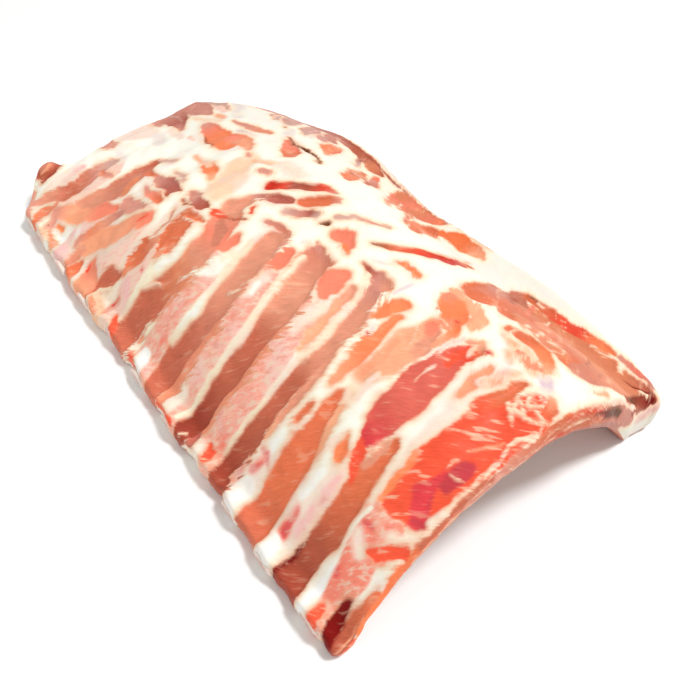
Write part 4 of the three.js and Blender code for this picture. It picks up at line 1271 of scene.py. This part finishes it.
    def build(self, material: bpy.types.Material) -> bpy.types.Object:
        """Builds the closed skin and stores the chart on it.

        Args:
            material: The finish of raw meat.

        Returns:
            The piece.
        """
        x, y = self.plan()
        chart_top = self.chart.read(x.ravel(), y.ravel())
        relief = self.relief(x, y) - chart_top["sink"].reshape(x.shape)
        high = self.form.outer(x, y) + relief
        top = np.stack([x, y, high], axis=-1).reshape(-1, 3)
        number = np.arange(x.size).reshape(x.shape)
        squares = np.stack([number[:-1, :-1], number[1:, :-1], number[1:, 1:], number[:-1, 1:]], axis=-1)

        i, j = self.ring()
        corner = np.stack([x[i, j], y[i, j]], axis=-1)
        lower = self.form.inner(corner[:, 0], corner[:, 1])
        angle = np.linspace(np.pi / 2, -np.pi / 2, self.rim_steps + 1)[1:-1, None]
        rim, flat = self.rim(corner, high[i, j], lower, self.rim_shape(i, j), angle)

        bottom_x, bottom_y = x[::2, ::2], y[::2, ::2]
        bottom_z = self.form.inner(bottom_x, bottom_y)
        bottom = np.stack([bottom_x, bottom_y, bottom_z], axis=-1).reshape(-1, 3)
        under = np.arange(bottom_x.size).reshape(bottom_x.shape) + top.shape[0] + rim.shape[0] * rim.shape[1]
        below = np.stack([under[:-1, :-1], under[:-1, 1:], under[1:, 1:], under[1:, :-1]], axis=-1)

        rim_number = top.shape[0] + np.arange(rim.shape[0] * i.size).reshape(rim.shape[0], i.size)
        loops = [number[i, j], *rim_number]
        sides = np.concatenate([loop_faces(low, up) for up, low in zip(loops, loops[1:])])
        stitches = self.stitches(loops[-1], under[i[::2] // 2, j[::2] // 2])
        squares, below = squares.reshape(-1, 4), below.reshape(-1, 4)
        faces = [*squares.tolist(), *below.tolist(), *sides.tolist(), *stitches.tolist()]
        obj = make_object("rack_meat", np.concatenate([top, rim.reshape(-1, 3), bottom]), faces, material)

        chart_rim = self.chart.read(flat[..., 0].ravel(), flat[..., 1].ravel())
        under_rim = self.chart.read_inner(rim[..., 0].ravel(), rim[..., 1].ravel())
        turned = np.broadcast_to(smoothstep((-angle - 0.7) / 0.6), rim.shape[:2]).ravel()
        inner = self.chart.read_inner(bottom[:, 0], bottom[:, 1])
        for key, kind in (("lean", "FLOAT"), ("lean_tint", "FLOAT_COLOR"), ("fat_tint", "FLOAT_COLOR"),
                          ("lie", "FLOAT"), ("flat", "FLOAT_VECTOR")):
            share = turned if chart_rim[key].ndim == 1 else turned[:, None]
            rim_values = mix(chart_rim[key], under_rim[key], share)
            add_attribute(obj, key, kind, np.concatenate([chart_top[key], rim_values, inner[key]]))
        return obj


@dataclass
class RibBone:
    """One flat rib bone: an oval bar along the rib's line, with a slightly domed sawn end."""

    form: RackForm
    number: int
    proud: float  # how strongly its sawn end stands out of the meat
    width: float = 15.6
    thick: float = 7.8
    height: float = 6.4  # mm of its middle line above the vault
    inner_end: float = 45.5
    dome: float = 1.6  # mm along the bar over which its ends close
    sawn_in: float = 0.1  # mm that a bone which isn't proud ends inside the edge
    proud_step: float = 0.3  # mm that it stands out for each unit of proud
    sides: int = 28
    rows: int = 30

    def build(self, material: bpy.types.Material) -> bpy.types.Object:
        """Builds the bar as rings along the rib and closes both ends with shrinking rings.

        Args:
            material: The finish of sawn bone.

        Returns:
            The piece.
        """
        form = self.form
        outline = form.sawn_edge(form.rib_x(self.number, np.array([-form.width / 2])))[0]
        start = outline + self.sawn_in - self.proud_step * self.proud
        caps = np.array([0.0, 0.55, 0.86, 0.97, 1.0])
        domes = np.array([0.0, 0.25, 0.55, 0.85, 1.3])
        body = np.linspace(start + self.dome, self.inner_end - self.dome, self.rows)
        y = np.concatenate([start + domes, body, self.inner_end - domes[::-1]])
        size = np.concatenate([caps, np.ones(self.rows), caps[::-1]])[:, None]
        x = form.rib_x(self.number, y)
        z = form.vault(x, y) + self.height
        slope = np.gradient(z, y)
        lean = 1 / np.hypot(1.0, slope)
        turn = np.linspace(0.0, 2 * np.pi, self.sides, endpoint=False)[None, :]
        wobble = 1 + 0.05 * np.sin(3 * turn + self.number) + 0.04 * np.sin(2 * turn - y[:, None] / 19)
        across = self.width / 2 * np.cos(turn) * size * wobble
        upright = self.thick / 2 * np.sin(turn) * size * wobble
        ring_x = x[:, None] + across
        ring_y = y[:, None] - upright * (slope * lean)[:, None] * (size > 0.99)
        ring_z = z[:, None] + upright * lean[:, None]
        points = np.stack([ring_x, ring_y, ring_z], axis=-1)
        poles = points[[0, -1], 0]
        points = points[1:-1]
        numbers = np.arange(points.shape[0] * self.sides).reshape(points.shape[0], self.sides)
        first, last = numbers.size, numbers.size + 1
        # The rings run clockwise seen from the inner end, so they are given the other way round.
        quads = np.concatenate([loop_faces(b, a) for a, b in zip(numbers, numbers[1:])])
        begin = np.stack([numbers[0], np.roll(numbers[0], -1), np.full(self.sides, first)], axis=-1)
        end = np.stack([np.roll(numbers[-1], -1), numbers[-1], np.full(self.sides, last)], axis=-1)
        faces = [*quads.tolist(), *begin.tolist(), *end.tolist()]
        flat = np.concatenate([points.reshape(-1, 3), poles])
        obj = make_object(f"sawn_rib_{self.number + 1:02d}", flat, faces, material)
        spread = np.hypot(across[1:-1] / (self.width / 2), upright[1:-1] / (self.thick / 2)).ravel()
        add_attribute(obj, "spread", "FLOAT", np.concatenate([spread, [0.0, 0.0]]))
        return obj


# ---------------------------------------------------------------------------------------------------
# Finishes
# ---------------------------------------------------------------------------------------------------


class Value:
    """A number socket of a shader that takes part in Python expressions."""

    def __init__(self, graph: "ShaderGraph", socket: bpy.types.NodeSocket) -> None:
        """Wraps a socket of a graph."""
        self.graph = graph
        self.socket = socket

    def _math(self, operation: str, first: "Value | float", second: "Value | float") -> "Value":
        """Adds a Math node of two operands and returns its result."""
        node = self.graph.add("ShaderNodeMath", {"operation": operation}, {0: first, 1: second})
        return Value(self.graph, node.outputs[0])

    def __add__(self, other: "Value | float") -> "Value":
        """Sum."""
        return self._math("ADD", self, other)

    def __radd__(self, other: float) -> "Value":
        """Sum with a number on the left."""
        return self._math("ADD", other, self)

    def __sub__(self, other: "Value | float") -> "Value":
        """Difference."""
        return self._math("SUBTRACT", self, other)

    def __rsub__(self, other: float) -> "Value":
        """Difference with a number on the left."""
        return self._math("SUBTRACT", other, self)

    def __mul__(self, other: "Value | float") -> "Value":
        """Product."""
        return self._math("MULTIPLY", self, other)

    def __rmul__(self, other: float) -> "Value":
        """Product with a number on the left."""
        return self._math("MULTIPLY", other, self)

    def step(self, low: float, high: float) -> "Value":
        """A smooth step from 0 at low to 1 at high; low may be above high.

        Args:
            low: Where the step starts.
            high: Where it ends.

        Returns:
            The step as a Value.
        """
        settings = {"interpolation_type": "SMOOTHSTEP"}
        swapped = low > high
        ends = {1: high if swapped else low, 2: low if swapped else high}
        ends.update({3: 1.0, 4: 0.0} if swapped else {3: 0.0, 4: 1.0})
        node = self.graph.add("ShaderNodeMapRange", settings, {0: self, **ends})
        return Value(self.graph, node.outputs[0])


class ShaderGraph:
    """The node tree of one material, with a Principled shader ready in it."""

    def __init__(self, name: str, base: dict[str, Any]) -> None:
        """Starts a material.

        Args:
            name: Name of the material.
            base: Constant values of the Principled shader's sockets.
        """
        self.material = bpy.data.materials.new(name)
        self.material.use_nodes = True
        self.tree = self.material.node_tree
        self.tree.nodes.clear()
        output = self.tree.nodes.new("ShaderNodeOutputMaterial")
        self.shader = self.add("ShaderNodeBsdfPrincipled", {}, base)
        self.tree.links.new(self.shader.outputs[0], output.inputs["Surface"])

    def add(self, kind: str, settings: dict[str, Any], inputs: dict[int | str, Any]) -> bpy.types.Node:
        """Adds a node.

        Args:
            kind: The node's type.
            settings: Its properties, set before its sockets.
            inputs: Numbers, Values or sockets for its inputs, by index, name or identifier.

        Returns:
            The node.
        """
        node = self.tree.nodes.new(kind)
        for key, value in settings.items():
            setattr(node, key, value)
        for key, value in inputs.items():
            self.put(node, key, value)
        return node

    def put(self, node: bpy.types.Node, key: int | str, value: Any) -> None:
        """Sets or links one input of a node.

        Args:
            node: The node.
            key: The input's index, name or identifier.
            value: A number, colour, Value or socket.
        """
        if isinstance(key, int):
            socket = node.inputs[key]
        else:
            socket = next(s for s in node.inputs if key in (s.identifier, s.name))
        if isinstance(value, Value):
            value = value.socket
        if isinstance(value, bpy.types.NodeSocket):
            self.tree.links.new(value, socket)
        else:
            socket.default_value = value

    def finish(self, **inputs: Any) -> bpy.types.Material:
        """Feeds the Principled shader's varying sockets and returns the material."""
        names = {"colour": "Base Color", "roughness": "Roughness", "coat": "Coat Weight", "normal": "Normal"}
        for key, value in inputs.items():
            self.put(self.shader, names[key], value)
        return self.material

    def attribute(self, name: str) -> bpy.types.Node:
        """An Attribute node for a mesh attribute."""
        return self.add("ShaderNodeAttribute", {"attribute_name": name}, {})

    def value(self, node: bpy.types.Node, output: int | str = 0) -> Value:
        """One number output of a node as a Value."""
        return Value(self, node.outputs[output])

    def noise(self, vector: Any, scale: float, detail: float = 2.0, roughness: float = 0.5,
              dimensions: str = "3D") -> Value:
        """Noise around 0.5 over a vector.

        Args:
            vector: Where the noise is read.
            scale: Lumps in each unit of the vector.
            detail: Octaves.
            roughness: Strength of each further octave.
            dimensions: 2D or 3D.

        Returns:
            The noise.
        """
        inputs = {"Vector": vector, "Scale": scale, "Detail": detail, "Roughness": roughness}
        node = self.add("ShaderNodeTexNoise", {"noise_dimensions": dimensions}, inputs)
        return Value(self, node.outputs[0])

    def turn(self, vector: Any, degrees: float, sizes: tuple[float, float, float]) -> bpy.types.NodeSocket:
        """Coordinates along and across a direction in the plan, divided by a size in each direction."""
        inputs = {"Vector": vector, "Rotation": (0.0, 0.0, math.radians(degrees)), "Scale": sizes}
        return self.add("ShaderNodeMapping", {"vector_type": "TEXTURE"}, inputs).outputs[0]

    def mix_colour(self, share: Value | float, a: Any, b: Any) -> bpy.types.NodeSocket:
        """Mixes two colours.

        Args:
            share: 0 for the first, 1 for the second.
            a: First colour, as a display colour or a socket.
            b: Second colour.

        Returns:
            The mixed colour.
        """
        inputs = {"Factor_Float": share, "A_Color": self.colour(a), "B_Color": self.colour(b)}
        node = self.add("ShaderNodeMix", {"data_type": "RGBA", "clamp_factor": True}, inputs)
        return next(s for s in node.outputs if s.identifier == "Result_Color")

    def colour(self, value: Any) -> Any:
        """The pigment of a display colour as RGBA; anything else unchanged."""
        return (*pigment(value), 1.0) if isinstance(value, str) else value

    def bump(self, height: Value, strength: float, distance: float) -> bpy.types.NodeSocket:
        """Turns a height in units of distance, given in metres, into a normal."""
        inputs = {"Strength": strength, "Distance": distance, "Height": height}
        return self.add("ShaderNodeBump", {}, inputs).outputs[0]


@dataclass(frozen=True)
class RawMeatFinish:
    """Wet raw meat, drawn from the chart: lean with fibres, fat, and mottled rib membrane."""

    name: str = "raw_meat"
    fringe: str = "f9b691"  # fat stained by the meat beside it
    halo: str = "feeacb"  # and a little further off
    cream: str = "fef2d8"  # clouds in the fat
    flush: str = "fce6de"
    vein: str = "fbd3b2"  # fat that runs through lean meat
    pale_fibre: str = "f9bd9c"
    film_light: str = "fddfc6"  # flecks in membrane
    film_dark: str = "ef8c70"
    deepening: float = 0.2  # how much the darkest lean fibres deepen
    coat_roughness: float = 0.25
    wet_ior: float = 1.4

    def material(self) -> bpy.types.Material:
        """Builds the material.

        Lean shows where the charted distance plus streaky noise passes 0. Its colour is the charted one,
        deepened and lightened along the fibres. Fat takes its charted colour, stained next to the meat,
        and membrane breaks into pale and red flecks along the grain. Sizes of fibres are in mm, and
        those of noise on the Object coordinates in metres.

        Returns:
            The material.
        """
        base = {
            "Coat Roughness": self.coat_roughness,
            "Coat IOR": self.wet_ior,
            "IOR": self.wet_ior,
            "Specular IOR Level": 0.06,
            "Subsurface Weight": 0.12,
            "Subsurface Radius": (1.0, 0.35, 0.2),
            "Subsurface Scale": 0.003,
        }
        g = ShaderGraph(self.name, base)
        place = g.add("ShaderNodeTexCoord", {}, {}).outputs["Object"]
        flat = g.attribute("flat").outputs["Vector"]
        ragged = g.value(g.add("ShaderNodeSeparateXYZ", {}, {0: flat}), 2)
        lie = g.value(g.attribute("lie"), "Fac")
        lean_tint = g.attribute("lean_tint")
        fat_tint = g.attribute("fat_tint")
        streaks = g.value(lean_tint, "Alpha")
        mottle = g.value(fat_tint, "Alpha")

        hair = self.fibres(g, flat, lie, 8.0, 0.9, 3.0)
        band = self.fibres(g, flat, lie, 16.0, 2.8, 2.0)
        patch = g.noise(place, 1 / 0.012, 2.0)
        stain = g.noise(place, 1 / 0.021, 2.0)
        speck = g.noise(place, 1 / 0.0016, 2.0, 0.6)
        thread = self.fibres(g, flat, lie, 5.0, 0.45, 2.0)
        blot = self.fibres(g, flat, lie, 5.0, 2.0, 3.0)

        tufts = patch.step(0.42, 0.62) * 1.1 + 0.35
        wander = (hair - 0.5) * 1.9 * tufts + (band - 0.5) * 3.4
        wander = wander + (blot - 0.5) * 1.6 + (speck - 0.5) * 0.6
        lean = g.value(g.attribute("lean"), "Fac") + wander * ragged
        is_lean = lean.step(-0.9, 0.8)

        fine = hair * 0.6 + band * 0.4
        lit = g.mix_colour(fine.step(0.54, 0.76) * streaks * 0.8, lean_tint.outputs["Color"], self.pale_fibre)
        shade = 1.0 - fine.step(0.5, 0.32) * streaks * self.deepening
        shade = shade + (patch - 0.5) * 0.35 + (thread - 0.5) * 0.3
        deep = g.add("ShaderNodeVectorMath", {"operation": "SCALE"}, {0: lit, "Scale": shade}).outputs[0]
        veins = (band * 0.6 + patch * 0.5).step(0.62, 0.70) * (streaks - 0.25) * 1.6
        marbled = g.mix_colour(veins, deep, self.vein)

        stain_share = lean.step(-5.5, -0.8) * (0.75 - mottle * 0.7)
        stained = g.mix_colour(stain_share, fat_tint.outputs["Color"], self.halo)
        fringed = g.mix_colour(lean.step(-2.6, 0.4) * 0.75, stained, self.fringe)
        clouded = g.mix_colour(patch.step(0.5, 0.72) * 0.35, fringed, self.cream)
        flushed = g.mix_colour(stain.step(0.52, 0.7) * 0.4, clouded, self.flush)
        light = g.mix_colour(blot.step(0.5, 0.66) * mottle * 0.7, flushed, self.film_light)
        red_share = (blot * 0.6 + thread * 0.4).step(0.48, 0.36) * mottle * 0.45
        red = g.mix_colour(red_share, light, self.film_dark)

        colour = g.mix_colour(is_lean, red, marbled)
        height = (hair * 0.3 + band * 0.4) * is_lean * 0.5 + speck * 0.08
        height = height + blot * mottle * 0.3 - is_lean * 0.3
        rough = 0.46 - is_lean * 0.06 + (speck - 0.5) * 0.25
        return g.finish(colour=colour, roughness=rough, coat=0.02 + is_lean * 0.02,
                        normal=g.bump(height, 0.8, MM))

    def fibres(self, g: ShaderGraph, flat: bpy.types.NodeSocket, lie: Value, length: float, width: float,
               detail: float) -> Value:
        """Streaky noise that runs along the flap's grain, the ribs' grain or a blend of both.

        Args:
            g: The graph.
            flat: Plan position in mm.
            lie: 0 for the flap's grain, 1 for the ribs'.
            length: Length of a streak, mm.
            width: Width of a streak, mm.
            detail: Octaves of noise.

        Returns:
            Noise around 0.5.
        """
        over_flap, over_ribs = (
            g.noise(g.turn(flat, degrees, (length, width, 1.0)), 1.0, detail, 0.6, "2D")
            for degrees in (Chart.FLAP_GRAIN, Chart.RIB_GRAIN)
        )
        return over_flap + (over_ribs - over_flap) * lie


@dataclass(frozen=True)
class SawnBoneFinish:
    """Sawn rib bone: pale and smooth on its side, with a blood-dark, porous middle at the sawn end."""

    name: str = "sawn_bone"
    shell_pale: str = "fdeee2"
    shell_rosy: str = "f8d3c6"
    marrow_dark: str = "b8544c"
    marrow_light: str = "f3b5a4"

    def material(self) -> bpy.types.Material:
        """Builds the material: pores show where the spread from the bone's middle is small.

        Returns:
            The material.
        """
        g = ShaderGraph(self.name, {"Coat Roughness": 0.25, "IOR": 1.45})
        place = g.add("ShaderNodeTexCoord", {}, {}).outputs["Object"]
        cloud = g.noise(place, 1 / 0.004, 3.0)
        pores = g.noise(place, 1 / 0.0012, 2.0, 0.7)
        spread = g.value(g.attribute("spread"), "Fac") + (cloud - 0.5) * 0.5
        middle = spread.step(0.78, 0.5)
        shell = g.mix_colour(cloud.step(0.4, 0.7) * 0.6, self.shell_pale, self.shell_rosy)
        marrow = g.mix_colour(pores.step(0.42, 0.6), self.marrow_dark, self.marrow_light)
        colour = g.mix_colour(middle * 0.6, shell, marrow)
        height = pores * middle * 0.5 + cloud * 0.3
        return g.finish(colour=colour, roughness=0.5 - middle * 0.1, coat=0.2 + middle * 0.1,
                        normal=g.bump(height, 0.7, MM))


# ---------------------------------------------------------------------------------------------------
# The scene
# ---------------------------------------------------------------------------------------------------


@dataclass
class RackOfRibs:
    """The whole rack: the slab of meat and its eleven bones."""

    form: RackForm
    proud: tuple[float, ...] = (0.3, 2, 1.8, 0, 0.6, 1.6, 0, 1, 0.3, 0.6, 0.8)  # of each bone's end

    def build(self) -> None:
        """Builds every piece, rides it on the body and hides the CAD part that it stands for."""
        meat = MeatSlab(self.form, Chart(self.form)).build(RawMeatFinish().material())
        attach(meat, "root")
        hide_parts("meat")
        self.report(meat)
        sawn_bone = SawnBoneFinish().material()
        for number, proud in enumerate(self.proud):
            bone = RibBone(self.form, number, proud).build(sawn_bone)
            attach(bone, "root")
            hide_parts(f"rib_bone_{number + 1:02d}")
            self.report(bone)

    def report(self, piece: bpy.types.Object) -> None:
        """Logs one piece's name and size."""
        LOG.info("%s: %d vertices, %d faces", piece.name, len(piece.data.vertices), len(piece.data.polygons))


@dataclass
class Studio:
    """A pale floor, bright soft light and the camera. Places and the lamp's size are in metres."""

    camera_at: tuple[float, float, float] = (0.266755, -0.157086, 0.319)
    azimuth: float = 54.04
    elevation: float = 49.5
    lens: float = 39.086
    sensor: float = 36.0
    surround: float = 0.62
    surround_colour: tuple[float, float, float, float] = (1.0, 0.99, 0.955, 1.0)
    key_power: float = 18.5
    key_colour: tuple[float, float, float] = (0.98, 0.985, 1.0)
    key_from: tuple[float, float, float] = (0.45, 0.55, 1.45)
    key_size: float = 0.3
    floor_glow: float = 0.03
    floor_half: float = 4000.0  # mm from the middle of the floor to its edge

    def build(self) -> None:
        """Sets the floor, the surround, the key light, the camera and the plain view transform."""
        self.floor()
        self.lights()
        data = bpy.data.cameras.new("camera")
        data.lens = self.lens
        data.sensor_width = self.sensor
        camera = bpy.data.objects.new("camera", data)
        camera.location = self.camera_at
        camera.rotation_euler = (math.radians(90 - self.elevation), 0.0, math.radians(self.azimuth))
        bpy.context.scene.collection.objects.link(camera)
        bpy.context.scene.camera = camera
        bpy.context.scene.view_settings.view_transform = "Standard"

    def floor(self) -> None:
        """A square of matt white, with a faint glow."""
        g = ShaderGraph("pale_floor", {"Base Color": (0.93, 0.93, 0.925, 1.0), "Roughness": 0.9,
                                       "Specular IOR Level": 0.1, "Emission Color": (1.0, 1.0, 0.99, 1.0),
                                       "Emission Strength": self.floor_glow})
        half = self.floor_half
        corners = np.array([[-half, -half, 0.0], [half, -half, 0.0], [half, half, 0.0], [-half, half, 0.0]])
        make_object("pale_floor", corners, [(0, 1, 2, 3)], g.material)

    def lights(self) -> None:
        """A white surround and one broad lamp before the near end, aimed at the rack."""
        world = bpy.data.worlds.new("surround")
        world.use_nodes = True
        background = world.node_tree.nodes["Background"]
        background.inputs["Color"].default_value = self.surround_colour
        background.inputs["Strength"].default_value = self.surround
        bpy.context.scene.world = world
        data = bpy.data.lights.new("key", "AREA")
        data.shape = "DISK"
        data.size = self.key_size
        data.energy = self.key_power
        data.color = self.key_colour
        lamp = bpy.data.objects.new("key", data)
        lamp.location = self.key_from
        x, y, z = self.key_from
        lamp.rotation_euler = (0.0, math.atan2(math.hypot(x, y), z), math.atan2(y, x))
        bpy.context.scene.collection.objects.link(lamp)


def main() -> None:
    """Builds the studio and the rack."""
    logging.basicConfig(level=logging.INFO, format="%(message)s")
    Studio().build()
    RackOfRibs(RackForm()).build()


if __name__ == "__main__":
    main()
